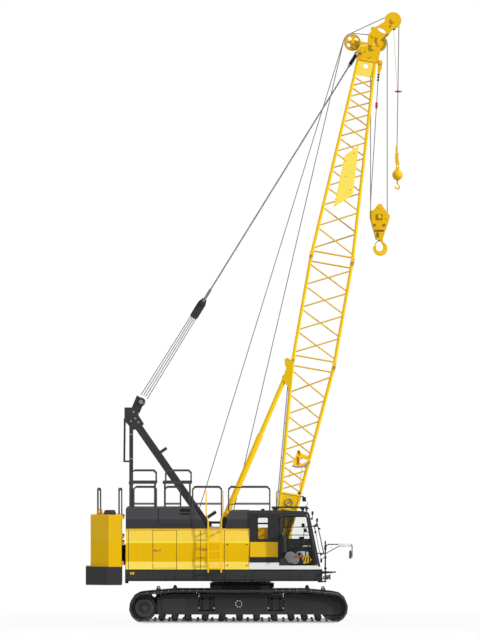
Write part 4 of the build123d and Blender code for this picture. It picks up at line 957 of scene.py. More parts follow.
# boom foot: conduit, lamp, hoop, guide bars, pin boss and joint pins

conduitPoints = [onBoom(s / 10, -boomDepth(s / 10) - 0.078, -0.655) for s in range(15, 58, 3)]
conduitParts = [bentTube(conduitPoints, 0.017, resolution=2)]
for s10 in (20, 30, 40, 50):
    middle = onBoom(s10 / 10, -boomDepth(s10 / 10) - 0.06, -0.645)
    conduitParts.append(blockAround(middle, (0.04, 0.022, 0.014), 0.005))
fit("chordConduit", conduitParts, "boom", "scaleGrey")

hoopRoute = rounded([(1.15, -0.625, 3.80), (1.01, -0.625, 3.77), (1.008, -0.625, 3.21), (1.10, -0.625, 3.12)], 0.07, 5)
hoop = bentTube([(1.16, -0.625, 3.795)] + hoopRoute[6:-6] + [(1.105, -0.625, 3.115)], 0.015, resolution=2)
guideBars = [bentTube([(1.757, -0.63, 4.50), (1.676, -0.63, 3.87)], 0.014, resolution=2),
             bentTube([(1.420, -0.63, 4.41), (1.377, -0.63, 4.16)], 0.014, resolution=2)]
fit("footHoop", [hoop] + guideBars, "boom", "boomYellow")

bossPlan = {"centre": onBoom(1.77, 0.0, -0.658), "ring": 0.118}
bossParts = [ringPiece(bossPlan["centre"], (0, -1, 0), 0.088, bossPlan["ring"], 0.022, 32, 0.003)]
bossX, bossY, bossZ = bossPlan["centre"]
bossParts += bolts(around(bossX, bossZ, bossY - 0.011, 0.103, fullTurn(10)), (0, -1, 0), 0.011, 0.012)
bossParts.append(roundRod(bossPlan["centre"] + Vector((0, 0.05, 0)), bossPlan["centre"] - Vector((0, 0.02, 0)),
                          0.03, 16, 0.005))
fit("footBoss", bossParts, "boom", "machined")

lampParts = [softBlock((1.755, -0.70, 3.47), (1.86, -0.58, 3.60), 0.012),
             softBlock((1.68, -0.66, 3.60), (1.80, -0.62, 3.625), 0.005),
             bentTube([(1.86, -0.64, 3.50), (1.915, -0.64, 3.42), (1.88, -0.64, 3.36), (1.76, -0.64, 3.27)], 0.007,
                      resolution=1),
             softBlock((1.62, -0.68, 3.69), (1.71, -0.62, 3.735), 0.006)]
fit("footLamp", lampParts, "boom", "black")
lens = cap((1.862, -0.64, 3.535), (1, 0, 0), 0.045, 0.01)
fit("footLampLens", [lens], "boom", "lampWhite")

pinParts = []
for s, y in ((5.82, 0.62), (8.87, 0.62)):
    for w in (-0.6, 0.6):
        for side in (-1, 1):
            centre = onBoom(s, w, side * (y + 0.064))
            pinParts.append(cap(centre, (0, side, 0), 0.036, 0.016, 16))
            clip = [onBoom(s + a, w + b, side * (y + 0.085)) for a, b in
                    ((0.03, 0.0), (0.05, 0.03), (-0.02, 0.045), (-0.05, 0.02), (-0.03, 0.0))]
            pinParts.append(bentTube(clip, 0.004, resolution=1))
fit("sectionPins", pinParts, "boom", "machined")

footPins = []
for side in (-1, 1):
    footPins.append(cap(boomFoot + Vector((0, side * 0.745, 0)), (0, side, 0), 0.075, 0.03))
    footPins += bolts([boomFoot + Vector((x, side * 0.775, z)) for x,
                       z in ((0.05, 0), (-0.05, 0), (0, 0.05), (0, -0.05))],
                      (0, side, 0), 0.010, 0.01)
fit("footPins", footPins, "upper", "machined")
print("boom foot fittings are made")

# ---- cab: rim, seals, hinges, inside fittings, mirrors, roof guard

rimRoute = rounded([(1.129, -1.603, 1.55), (1.129, -1.603, 3.082), (1.885, -1.603, 3.082),
                    (2.212, -1.603, 1.55)], 0.13, 6)[7:-7]
rim = bentTube([(1.129, -1.603, 1.69)] + rimRoute + [(2.182, -1.603, 1.69)], 0.026, resolution=3)
corner = cutPlate([(1.78, -1.596, 3.06), (1.885, -1.596, 3.06), (1.92, -1.596, 2.93),
                   (1.868, -1.596, 3.02)], 0.012)
lowCorner = cutPlate([(1.14, -1.598, 1.86), (1.14, -1.598, 1.66), (1.37, -1.598, 1.66)], 0.014)
fit("doorRim", [rim, corner, lowCorner], "cab_door", "hoodGrey")

frontPane = [(x, -1.598, z) for x, z in ((1.235, 1.86), (1.39, 1.665), (2.10, 1.665), (1.868, 3.04), (1.14, 3.04),
                                               (1.14, 1.90))]
seal = bentTube(rounded(frontPane, 0.05, 3), 0.011, closed=True, resolution=1)
fit("doorSeal", [seal], "cab_door", "rubber")
rearPane = [(x, -1.601, z) for x, z in ((0.47, 2.39), (0.769, 2.39), (0.769, 3.02), (0.47, 3.02))]
rearSeal = bentTube(rounded(rearPane, 0.05, 3), 0.011, closed=True, resolution=1)
curtain = roundRod((0.44, -1.56, 2.848), (0.80, -1.56, 2.848), 0.024, 14, 0.004)
fit("rearSeal", [rearSeal, smoothed(curtain)], "upper", "rubber")

hingeParts = []
for z in (1.85, 2.45, 2.98):
    hingeParts.append(roundRod((1.083, -1.612, z - 0.045), (1.083, -1.612, z + 0.045), 0.013, 14, 0.003))
    hingeParts.append(softBlock((1.083, -1.612, z - 0.032), (1.135, -1.600, z + 0.032), 0.004))
    hingeParts += bolts([(1.118, -1.612, z + d) for d in (-0.018, 0.018)], (0, -1, 0), 0.007, 0.006)
lock = softBlock((2.015, -1.618, 1.985), (2.068, -1.598, 2.055), 0.008)
hingeParts += [lock] + [cap((2.041, -1.618, 2.02), (0, -1, 0), 0.014, 0.006, 16)]
fit("doorHinges", hingeParts, "cab_door", "black")

# inside, seen through the door's glass
drumParts = [cap((1.41, -1.545, 1.87), (0, -1, 0), 0.175, 0.007, 8, 0.3),
             roundRod((1.41, -1.546, 1.87), (1.41, -1.42, 1.87), 0.172, 12, 0.012),
             cap((1.545, -1.543, 1.80), (0, -1, 0), 0.12, 0.006, 20, 0.3),
             ringPiece((1.665, -1.549, 1.96), (0, 1, 0), 0.045, 0.095, 0.008, 20, 0.002)]
drumParts += bolts(around(1.41, 1.87, -1.552, 0.12, (0.5, 2.2, 3.6, 5.2)),
                   (0, -1, 0), 0.010, 0.005)
fit("seatSide", drumParts, "upper", "seatGrey")
redBar = softBlock((1.483, -1.554, 1.862), (1.78, -1.546, 1.905), 0.003)
fit("parkLever", [redBar, cap((1.495, -1.553, 1.884), (0, -1, 0), 0.018, 0.004, 14)],
    "upper", "red")
hazardShape = ((1.737, 1.905), (1.95, 1.915), (2.03, 1.805), (1.93, 1.72), (1.79, 1.69))
hazard = sidePlate(hazardShape, -1.547, 0.006, 0.001)
fit("hazardPlate", [hazard], "upper", "panelYellow")
stripes = []
for x in (1.775, 1.85, 1.925):
    stripes.append(cutPlate([(x + a, -1.5535, z) for a, z in ((0.03, 1.888), (0.062, 1.888), (0.032, 1.742),
                                                                   (0.0, 1.742))], 0.0015, 0.0))
fit("hazardStripes", stripes, "upper", "black")
trayShape = ((1.656, 2.045), (1.80, 2.04), (2.033, 2.0), (1.95, 1.912), (1.70, 1.912))
whiteParts = [sidePlate(trayShape, -0.803, 0.012, 0.002),
              softBlock((1.77, -0.815, 2.172), (1.915, -0.803, 2.206), 0.004),
              softBlock((1.95, -0.815, 2.172), (1.987, -0.803, 2.206), 0.004)]
fit("wallTrays", whiteParts, "upper", "bandWhite")
inner = [roundRod((1.12, -0.775, z), (1.98, -0.775, z), 0.011, 12, 0.002) for z in (2.735, 2.506)]
inner += [roundRod((1.80, -0.775, 2.38), (1.80, -0.775, 2.76), 0.009, 10, 0.002)]
inner += [softBlock((1.66, -0.82, 2.395), (1.80, -0.78, 2.46), 0.015)]
for x, z in ((1.774, 2.795), (1.835, 2.65)):
    speaker = softBlock((x - 0.045, -1.50, z - 0.055), (x + 0.045, -1.44, z + 0.055), 0.022, 3)
    arm = bentTube([(x + 0.03, -1.47, z - 0.03), (x + 0.10, -1.49, z - 0.06), (x + 0.16, -1.54, z - 0.02)],
                   0.012, resolution=2)
    inner += [speaker, arm]
fit("cabInside", inner, "upper", "black")

mirrorParts = []
for x, z, footX, footZ in ((2.045, 3.145, 2.02, 2.98), (2.175, 2.945, 2.14, 2.80)):
    head = softBlock((x - 0.03, -1.62, z - 0.055), (x + 0.03, -1.53, z + 0.055), 0.024, 3)
    stalk = bentTube([(x, -1.57, z - 0.03), (footX + 0.02, -1.57, footZ + 0.03), (footX - 0.03, -1.57, footZ)],
                     0.012, resolution=2)
    knot = softBlock((footX - 0.025, -1.6, footZ - 0.025), (footX + 0.035, -1.54, footZ + 0.03), 0.012)
    mirrorParts += [head, stalk, knot]
for x, z in ((2.10, 2.765), (2.243, 2.70), (2.13, 2.60), (2.30, 1.96)):
    mirrorParts.append(softBlock((x - 0.032, -1.595, z - 0.024), (x + 0.032, -1.545, z + 0.024), 0.01))
wiper = [softBlock((2.27, -1.36, 1.72), (2.325, -1.26, 1.84), 0.012),
         bentTube([(2.30, -1.31, 1.80), (2.225, -1.30, 2.16), (2.10, -1.22, 2.72)], 0.008, resolution=1),
         bentTube([(2.155, -1.28, 2.50), (2.093, -1.20, 2.80)], 0.011, resolution=1),
         bentTube([(2.27, -1.56, 1.80), (2.35, -1.57, 1.85), (2.41, -1.57, 1.90)], 0.010, resolution=1)]
fit("pillarMirrors", mirrorParts + wiper, "upper", "black")

guardParts = [softBlock((0.867, -1.545, 3.288), (1.915, -1.515, 3.338), 0.008)]
for x, lean in ((0.985, 1), (1.745, -1)):
    guardParts.append(cutPlate([(x - 0.09, -1.53, 3.30), (x + 0.09, -1.53, 3.30), (x + 0.025 * lean, -1.53, 3.19),
                                (x - 0.03 * lean, -1.53, 3.19)], 0.02, 0.003))
guardParts += [softBlock((0.57, -1.50, 3.215), (0.67, -1.44, 3.27), 0.012),
               softBlock((1.86, -1.55, 3.262), (1.96, -1.50, 3.288), 0.006)]
guardParts += bolts([(x, -1.546, 3.313) for x in (0.90, 1.15, 1.40, 1.65, 1.88)], (0, -1, 0), 0.012, 0.008)
fit("roofGuardTrim", guardParts, "upper", "cabDark")
lampHeads = []
for y in (-1.42, -0.93):
    lampHeads.append(softBlock((1.84, y - 0.065, 3.215), (1.90, y + 0.065, 3.285), 0.012))
fit("workLamps", lampHeads, "upper", "black")
fit("workLenses", [softBlock((1.895, y - 0.052, 3.225), (1.906, y + 0.052, 3.275), 0.005) for y in (-1.42, -0.93)],
    "upper", "lampWhite")

# front corner: arm sleeve, mirror, blade edge and horn
sleeve = roundRod((2.785, -1.62, 2.222), (3.15, -1.62, 2.222), 0.042, 20, 0.008)
upright = roundRod((2.60, -1.60, 2.23), (2.60, -1.60, 2.106), 0.010, 10)
fit("armSleeve", [smoothed(sleeve), upright], "upper", "mirror")
clampParts = [softBlock((2.375, -1.60, z - 0.022), (2.452, -1.52, z + 0.022), 0.008) for z in (1.56, 1.87, 2.12, 2.18)]
clampParts.append(cutPlate([(2.30, -1.685, 1.400), (2.30, -1.685, 1.482), (2.722, -1.685, 1.470),
                            (2.722, -1.685, 1.438)], 0.02, 0.002))
clampParts += [softBlock((2.30, -1.60, 1.16), (2.44, -1.54, 1.20), 0.006),
               softBlock((3.105, -1.665, 2.03), (3.152, -1.60, 2.075), 0.01)]
fit("frontClamps", clampParts, "upper", "black")
bell = bentTube([(2.34, -1.56, 1.314), (2.43, -1.56, 1.314)], 0.022, resolution=3)
mouthRing = ringPiece((2.548, -1.56, 1.314), (1, 0, 0), 0.05, 0.082, 0.03, 24, 0.006)
cone = ringPiece((2.487, -1.56, 1.314), (1, 0, 0), 0.012, 0.05, 0.105, 24, 0.018)
fit("horn", [bell, mouthRing, cone], "upper", "bronze")
mirrorGlass = softBlock((3.160, -1.682, 1.85), (3.165, -1.558, 2.04), 0.002)
fit("mirrorGlass", [mirrorGlass], "upper", "mirror")
print("cab fittings are made")

# ---- housings and deck: seams, vents, latches, bolts, lamp and edges

panelSection = ((1.53, 1.600), (1.725, 1.574), (2.29, 1.600), (2.70, 1.566))


def panelFace(z):
    # distance of the folded panel's outer face from the middle at height z
    for (z0, y0), (z1, y1) in zip(panelSection, panelSection[1:]):
        if z <= z1:
            return y0 + (y1 - y0) * (z - z0) / (z1 - z0)
    return panelSection[-1][1]


def seamStrip(x, side, width=0.013):
    # dark sealing strip in one upright seam of a folded panel
    outer = [Vector((x - width / 2, side * (y + 0.0015), z)) for z, y in panelSection]
    inner = [Vector((x - width / 2, side * (y - 0.02), z)) for z, y in reversed(panelSection)]
    strip = cutPlate(outer + inner, width, 0.0)
    middle = sum((v.co.x for v in strip.data.vertices)) / len(strip.data.vertices)
    strip.location.x = x - middle
    settle(strip)
    return strip


seams = [seamStrip(x, -1) for x in (-3.24, -2.54, -1.857, -1.175, -0.484)]
seams += [seamStrip(x, 1) for x in (-3.24, -2.54, -1.857, -1.175, -0.484, 0.233)]
for side in (-1, 1):
    face = side * 1.5675
    for low, high in (((-2.386, 2.812), (-2.376, 3.29)), ((-1.376, 2.812), (-1.366, 3.262)),
                      ((-2.38, 2.806), (-1.37, 2.816))):
        seams.append(softBlock((low[0], face, low[1]), (high[0], face - side * 0.012, high[1]), 0.001, 1))
fit("panelSeams", seams, "upper", "rubber")

vents = []
for side in (-1, 1):
    face = side * 1.5675
    for low, high in ((3.103, 3.142), (3.183, 3.268)):
        vents.append(softBlock((-1.764, face, low), (-1.477, face - side * 0.01, high), 0.002, 1))
        for i in range(1, 4):
            z = low + (high - low) * i / 4
            vents.append(softBlock((-1.755, face, z - 0.003), (-1.486, face + side * 0.006, z + 0.003), 0.001, 1))
fit("hoodVents", vents, "upper", "black")

latchParts = []
for x in (-1.075, -0.985):
    y = panelFace(2.095)
    latchParts.append(ringPiece((x, -y - 0.002, 2.095), (0, -1, 0), 0.014, 0.028, 0.012, 20, 0.002))
    latchParts.append(roundRod((x, -y + 0.01, 2.095), (x, -y - 0.006, 2.095), 0.013, 14, 0.002))
latchParts.append(softBlock((-1.06, -panelFace(2.09) - 0.012, 2.077), (-1.0, -panelFace(2.09), 2.09), 0.004))
fit("panelLatch", latchParts, "upper", "bronze")
doorLatch = []
for x in (-2.49, -2.333):
    y = panelFace(2.09)
    doorLatch.append(ringPiece((x, -y - 0.002, 2.09), (0, -1, 0), 0.013, 0.026, 0.012, 20, 0.002))
    doorLatch.append(roundRod((x, -y + 0.01, 2.09), (x, -y - 0.006, 2.09), 0.012, 14, 0.002))
doorLatch.append(softBlock((-2.44, -1.618, 2.062), (-2.38, -1.606, 2.078), 0.004))
fit("doorLatch", doorLatch, "housing_door", "bronze")
doorHinges = []
for z in (1.72, 2.10, 2.50):
    doorHinges.append(roundRod((-2.533, -panelFace(z) - 0.004, z - 0.04), (-2.533, -panelFace(z) - 0.004, z + 0.04),
                               0.009, 12, 0.002))
fit("doorHingePins", doorHinges, "housing_door", "panelYellow")

boltParts = []
for side in (-1, 1):
    for z in (2.245, 1.64):
        boltParts += bolts([Vector((x, side * (panelFace(z) - 0.001), z)) for x in (-0.40, 0.157)], (0, side, 0),
                           0.015, 0.011)
    places = [Vector((x, side * 1.5795, z)) for x in (-3.26, -2.18, -1.895, -0.815, -0.49, 0.122, 0.308, 1.386, 1.691,
                                                      2.17)
              for z in (1.336, 1.232) if side < 0 or x < 1.4]
    boltParts += bolts(places, (0, side, 0), 0.016, 0.011)
fit("sideBolts", boltParts, "upper", "black")

edges = []
for side, front in ((-1, 2.327), (1, 1.48)):
    for low, high, proud in ((1.190, 1.211, 0.010), (1.246, 1.254, 0.004)):
        edges.append(softBlock((-3.336, side * (1.58 + proud), low), (front, side * 1.570, high), 0.002, 1))
edges.append(softBlock((0.25, -1.5845, 1.497), (2.30, -1.57, 1.528), 0.002, 1))
for side in (-1, 1):
    edges.append(softBlock((-3.318, side * 1.572, 2.692), (-1.0, side * 1.555, 2.712), 0.002, 1))
    edges.append(softBlock((-0.478, side * 1.572, 2.692), (0.232, side * 1.555, 2.712), 0.002, 1))
edges.append(softBlock((-3.335, -1.42, 1.128), (-3.24, -1.22, 1.189), 0.01))
edges.append(softBlock((2.20, -1.45, 1.155), (2.30, -1.2, 1.189), 0.01))
fit("deckEdges", edges, "upper", "black")
lampBody = softBlock((-3.192, -1.602, 1.385), (-3.068, -1.578, 1.457), 0.03, 4)
fit("sideLamp", [smoothed(lampBody)], "upper", "amber")
fit("sideLampMiddle", [softBlock((-3.15, -1.606, 1.408), (-3.11, -1.600, 1.434), 0.006, 3)], "upper",
    "black")

race = ringPiece((0, 0, 1.174), (0, 0, 1), 0.80, 0.871, 0.028, 64, 0.004)
fit("raceRing", [race], "upper", "machined")
raceBolts = [(0.884 * math.cos(t), 0.884 * math.sin(t), 1.119) for t in fullTurn(48) if abs(math.sin(t)) < 0.814]
fit("raceBolts", bolts(raceBolts, (0, 0, 1), 0.015, 0.016), "undercarriage", "machined")
# the side bolts round the race are painted white to stand for light seen through the gaps between them: painted light
sideBolts = []
for turn in fullTurn(40):
    outward = Vector((math.cos(turn), math.sin(turn), 0))
    sideBolts += bolts([outward * 0.870 + Vector((0, 0, 1.174))], outward, 0.012, 0.012)
fit("raceGapLightBolts", sideBolts, "upper", "bandWhite")

stepParts = [softBlock((-0.93, -1.50, 2.70), (-0.60, -1.25, 2.758), 0.006)]
for i in range(7):
    x = -0.915 + 0.05 * i
    stepParts.append(softBlock((x - 0.006, -1.49, 2.756), (x + 0.006, -1.26, 2.768), 0.002, 1))
fit("roofStep", stepParts, "upper", "scaleGrey")
stepRail = [roundRod((-0.95, -1.48, 2.875), (-0.58, -1.48, 2.875), 0.035, 14, 0.006)]
stepRail += [roundRod((x, -1.48, 2.70), (x, -1.48, 2.87), 0.014, 10) for x in (-0.92, -0.61)]
fit("stepRail", [smoothed(part) for part in stepRail], "upper", "black")
print("housing and deck fittings are made")

# ---- boom foot: webs between the chords and the hoses on them

webs, hoses = [], []
for side in (-1, 1):
    shape = [onBoom(s, w * (boomDepth(s) - 0.03), side * 0.612) for s,
             w in ((0.5, -1), (1.56, -1), (1.56, 1), (0.5, 1))]
    webs.append(cutPlate(shape, 0.016, 0.002))
    for s in (0.62, 1.02, 1.46):
        depth = boomDepth(s) - 0.05
        webs.append(bentTube([onBoom(s, -depth, side * 0.632), onBoom(s, depth, side * 0.632)], 0.012, resolution=1))
    for w, lean in ((-0.05, 0.0), (0.03, 0.06), (0.11, 0.05)):
        hoses.append(bentTube([onBoom(s, w + lean * s, side * 0.648) for s in (0.45, 0.8, 1.15, 1.5, 1.62)], 0.013,
                              resolution=2))
    for s in (0.8, 1.3):
        hoses.append(softBlock(onBoom(s, -0.04, side * 0.648) - Vector((0.07, 0.022, 0.018)),
                               onBoom(s, 0.14, side * 0.648) + Vector((0.02, 0.022, 0.018)), 0.006))
fit("footWebs", webs, "boom", "boomYellow")
fit("footHoses", hoses, "boom", "black")
flange = []
for side in (-1, 1):
    for s in (1.565, 2.018):
        depth = boomDepth(s)
        middle = onBoom(s, 0, side * 0.640)
        rib = softBlock((-0.018, -0.022, -depth + 0.03), (0.018, 0.022, depth - 0.03), 0.004)
        rib.rotation_euler = (0, math.radians(100), 0)
        rib.location = middle
        settle(rib)
        flange.append(rib)
fit("footFlanges", flange, "boom", "signYellow")
print("boom foot webs are made")

# ---- undercarriage: covers, caps, fillers and window fittings

covers, bosses, caps, dots, fillers, windows = [], [], [], [], [], []
for side in (-1, 1):
    face = side * 2.3155
    outward = (0, side, 0)
    covers.append(softBlock((-2.27, face, 0.27), (-1.62, face + side * 0.010, 0.70), 0.006))
    covers += bolts([Vector((x, face + side * 0.010, z)) for x in (-2.24, -1.945, -1.65) for z in (0.30, 0.67)],
                    outward, 0.013, 0.010)
    rim = ringPiece((-2.79, side * 2.316, 0.43), outward, 0.185, 0.262, 0.014, 40, 0.004)
    middleCap = cap((-2.79, side * 2.309, 0.43), outward, 0.075, 0.022)
    bosses += [rim, middleCap]
    bosses += bolts(around(-2.79, 0.43, side * 2.322, 0.225, fullTurn(14)), outward, 0.012, 0.010)
    for x in (-2.28, -1.91, -1.54, -1.04, -0.55, -0.05, 0.44, 0.94, 1.43, 1.81, 2.20):
        for y in (2.275, 1.875):
            out = side if y > 2 else -side
            caps.append(cap((x, side * y, 0.158), (0, out, 0), 0.058, 0.032, 16))
        caps.append(softBlock((x - 0.055, side * 2.282, 0.185),
                              (x + 0.055, side * 2.314, 0.262), 0.008))
    dots += [cap(spot, outward, 0.017, 0.012, 12) for spot in around(-0.075, 0.55, side * 2.285, 0.092,
                                                                     fullTurn(8, 0.5))]
    rear = ((-2.33, 0.735), (-2.33, 0.80), (-1.95, 0.838), (-1.30, 0.838), (-1.30, 0.735))
    front = ((1.62, 0.80), (1.62, 0.834), (2.20, 0.834), (2.46, 0.80), (2.62, 0.70), (2.60, 0.62))
    for shape in (rear, front):
        plate = sidePlate(shape, side * 2.295, 0.016, 0.003)
        fillers.append(plate)
    fillers.append(softBlock((-2.40, face, 0.245), (2.86, face + side * 0.008, 0.262),
                             0.002, 1))
    for x in (-1.002, 0.994):
        windows.append(softBlock((x - 0.2315, side * 2.25, 0.44), (x + 0.2315, side * 2.27, 0.69), 0.006))
        windows.append(softBlock((x - 0.20, side * 2.25, 0.352), (x + 0.20, side * 2.27, 0.776), 0.02))
        for shift in (-0.12, 0.12):
            windows.append(softBlock((x + shift - 0.045, side * 2.265, 0.37), (x + shift + 0.045, side * 2.295, 0.74),
                                     0.012))
        windows.append(softBlock((x - 0.16, side * 2.265, 0.66), (x + 0.16, side * 2.295, 0.75), 0.012))
fit("frameCovers", covers, "undercarriage", "cabDark")
fit("sprocketCovers", bosses, "undercarriage", "coverGrey")
fit("rollerCaps", caps, "undercarriage", "roller")
fit("hubDots", dots, "undercarriage", "lampWhite")
fit("frameFillers", fillers, "undercarriage", "slate")
fit("axleKeepers", windows, "undercarriage", "black")
print("undercarriage fittings are made")

# ---- head: plates of painted shadow and painted highlight, ribs, shaft caps and bolts

headPlan = {
    "paintedShadow": (
        ((3.64, 16.61), (3.76, 16.61), (3.74, 16.50), (3.82, 16.46), (3.80, 16.42), (3.66, 16.42)),
        ((3.86, 16.84), (3.93, 16.80), (3.90, 16.72), (3.95, 16.64), (3.87, 16.64), (3.82, 16.72)),
        ((3.37, 16.36), (3.58, 16.45), (3.57, 16.40), (3.40, 16.30)),
        ((4.27, 17.34), (4.38, 17.31), (4.40, 17.24), (4.30, 17.22)),
        ((4.26, 17.17), (4.33, 17.20), (4.30, 17.10), (4.25, 17.10)),
        ((3.62, 16.21), (3.73, 16.28), (3.75, 16.27), (3.64, 16.19)),
    ),
    "paintedLight": (((3.42, 16.60), (3.63, 16.62), (3.63, 16.58), (3.42, 16.56)),
             ((3.77, 16.63), (3.85, 16.65), (3.85, 16.62), (3.78, 16.60))),
    "cheek": 0.2815,
}
# the dull plates paint the shadows on the head's cheeks and the pale plates paint its highlights
for label, finish, thickness in (("paintedShadow", "dullShadeYellow", 0.006), ("paintedLight", "signYellow", 0.010)):
    plates = []
    for side in (-1, 1):
        for shape in headPlan[label]:
            plates.append(cutPlate([Vector((x, side * headPlan["cheek"], z)) for x, z in shape], 0.001 + thickness,
                                   0.002))
    fit(label + "HeadPlates", plates, "boom", finish)
# dull patches on the guide brackets are painted shadow
bracketPatches = []
for side in (-1, 1):
    shape = [onBoom(s, w, side * 0.2175) for s, w in ((14.93, -0.30), (15.06, -0.52), (15.18, -0.50), (15.19, -0.28))]
    bracketPatches.append(cutPlate(shape, 0.004, 0.001))
fit("guideShadePatches", bracketPatches, "boom", "dullShadeYellow")
headCaps = []
for side in (-1, 1):
    for (s, w), y, radius in (((15.216, 0.262), 0.281, 0.062), ((15.127, -0.495), 0.216, 0.052),
                              ((15.952, 0.542), 0.262, 0.060),
                              ((14.9, -0.18), 0.281, 0.055), ((15.4, 0.06), 0.281, 0.045)):
        headCaps.append(cap(onBoom(s, w, side * y), (0, side, 0), radius, 0.022))
        headCaps += bolts([onBoom(s + radius * 0.62 * math.cos(a), w + radius * 0.62 * math.sin(a), side * (y + 0.018))
                           for a in (0.4, 2.5, 4.6)], (0, side, 0), 0.008, 0.008)
    for s, w in ((14.72, -0.20), (14.72, 0.28), (14.95, 0.30), (15.32, 0.30), (15.55, 0.45), (15.70, 0.52),
                 (15.62, 0.0),
                 (15.45, -0.05), (15.20, -0.02)):
        headCaps += bolts([onBoom(s, w, side * 0.281)], (0, side, 0), 0.013, 0.010)
fit("headCaps", headCaps, "boom", "hookYellow")
spring = [bentTube([(4.075, -0.29, 16.77), (4.22, -0.29, 16.90)], 0.022, resolution=2),
          softBlock((4.05, -0.31, 16.74), (4.10, -0.28, 16.79), 0.008),
          softBlock((4.19, -0.31, 16.87), (4.24, -0.28, 16.93), 0.008)]
fit("headDamper", spring, "boom", "dullShadeYellow")
# dull rings round the pulleys paint the shade between their rims and the cheeks
pulleyShadeRings = []
for side in (-1, 1):
    for (s, w), y, inner, outer in (((15.216, 0.262), 0.175, 0.150, 0.188), ((15.216, 0.262), 0.175, 0.206, 0.216),
                                    ((15.127, -0.495), 0.175, 0.212, 0.228), ((15.952, 0.542), 0.228, 0.10, 0.12)):
        pulleyShadeRings.append(ringPiece(onBoom(s, w, side * y), (0, side, 0), inner, outer, 0.006, 32, 0.001))
fit("pulleyShadeRings", pulleyShadeRings, "boom", "dullShadeYellow")
headEdge = []
for side in (-1, 1):
    headEdge.append(bentTube([onBoom(14.686, -0.29, side * 0.3125), onBoom(14.686, 0.34, side * 0.3125)], 0.013,
                             resolution=2))
    headEdge.append(bentTube([onBoom(14.61, -0.25, side * 0.30), onBoom(14.30, -0.262, side * 0.31)], 0.010,
                             resolution=1))
fit("headEdges", headEdge, "boom", "boomYellow")
print("head fittings are made")

# stay sockets at the head

stayPin = Vector((3.321, 0, 16.355))
stayRun = (Vector((-2.890, 0, 6.330)) - stayPin).normalized()
sockets = []
for side in (-1, 1):
    centre = stayPin + Vector((0, side * 0.332, 0))
    sockets.append(roundRod(centre + stayRun * 0.045, centre + stayRun * 0.36, 0.050, 20, 0.012))
    for a, radius in ((0.10, 0.056), (0.21, 0.054), (0.32, 0.056)):
        sockets.append(ringPiece(centre + stayRun * a, stayRun, 0.04, radius, 0.022, 20, 0.004))
fit("staySockets", [smoothed(part) for part in sockets], "stay", "socketBlack")

# hook block: cheek plates, painted shade strips and slots, keeper, bolts, latch and rounded hooks

blockShape = ((3.915, 12.0), (3.995, 12.0), (4.13, 11.84), (4.235, 11.69), (4.215, 11.55), (4.125, 11.29),
              (3.835, 11.29),
              (3.765, 11.5), (3.765, 11.72), (3.86, 11.87))
shadeStripShape = ((3.702, 11.83), (3.752, 11.83), (3.748, 11.5), (3.82, 11.25), (3.905, 11.005), (3.87, 11.005),
              (3.702, 11.61))
plates, shadeStrips, keepers, darks, pins = [], [], [], [], []
for side in (-1, 1):
    plates.append(sidePlate(blockShape, side * 0.156, 0.012, 0.004))
    # the dull strip along each plate's edge is painted shade
    shadeStrips.append(sidePlate(shadeStripShape, side * 0.1515, 0.003, 0.001))
    # the keeper plate's dull colour paints the shade of a recess
    keepers.append(softBlock((3.883, side * 0.165, 11.573), (4.068, side * 0.174, 11.737), 0.006))
    keepers += bolts([Vector((x, side * 0.172, z)) for x in (3.905, 4.046) for z in (11.595, 11.715)], (0, side, 0),
                     0.012, 0.01)
    pins.append(cap((3.978, side * 0.170, 11.66), (0, side, 0), 0.052, 0.03))
    for x, z in ((3.845, 11.426), (4.116, 11.426)):
        darks.append(cap((x, side * 0.166, z), (0, side, 0), 0.036, 0.014, 20))
    # the dark slot and strip are painted shade in the block's gaps
    darks.append(softBlock((3.835, side * 0.150, 11.24), (4.105, side * 0.166, 11.285), 0.012))
    darks.append(softBlock((3.885, side * 0.150, 11.07), (3.965, side * 0.154, 11.21),
                           0.0015))
    pins += bolts([Vector((x, side * 0.164, z)) for x, z in ((3.952, 11.94), (4.20, 11.62))], (0, side, 0), 0.018,
                  0.014)
fit("blockPlates", plates, "main_hook", "hookYellow")
fit("blockShadeStrips", shadeStrips, "main_hook", "dullShadeYellow")
fit("blockKeepers", keepers, "main_hook", "dullShadeYellow")
fit("blockPins", pins, "main_hook", "boomYellow")
fit("blockBoltsAndShade", darks, "main_hook", "brownShade")


def roundHook(centre, radius, girth):
    # tapered bowl of a hook, from its shank round to the tip
    turns = [math.radians(a) for a in range(52, -203, -12)]
    route = [Vector((centre[0] + radius * math.cos(t), 0, centre[1] + radius * math.sin(t))) for t in turns]
    count = len(route) - 1
    weight = [0.55 + 0.62 * math.sin(math.pi * (0.12 + 0.80 * i / count)) for i in range(count + 1)]
    return bentTube(route, girth, resolution=5, thickness=weight)


latch = [bentTube([(3.845, 0.0, 10.86), (3.90, 0.0, 10.93), (3.955, 0.0, 10.99)], 0.012, resolution=2)]
latch.append(roundRod((3.965, -0.05, 10.985), (3.965, 0.05, 10.985), 0.012, 12))
fit("hookLatch", latch, "main_hook", "machined")
fit("hookBowl", [roundHook((4.0, 10.75), 0.157, 0.050)], "main_hook", "boomYellow")
print("hook block fittings are made")

# ---- gantry and weights: shaft caps, hoop legs

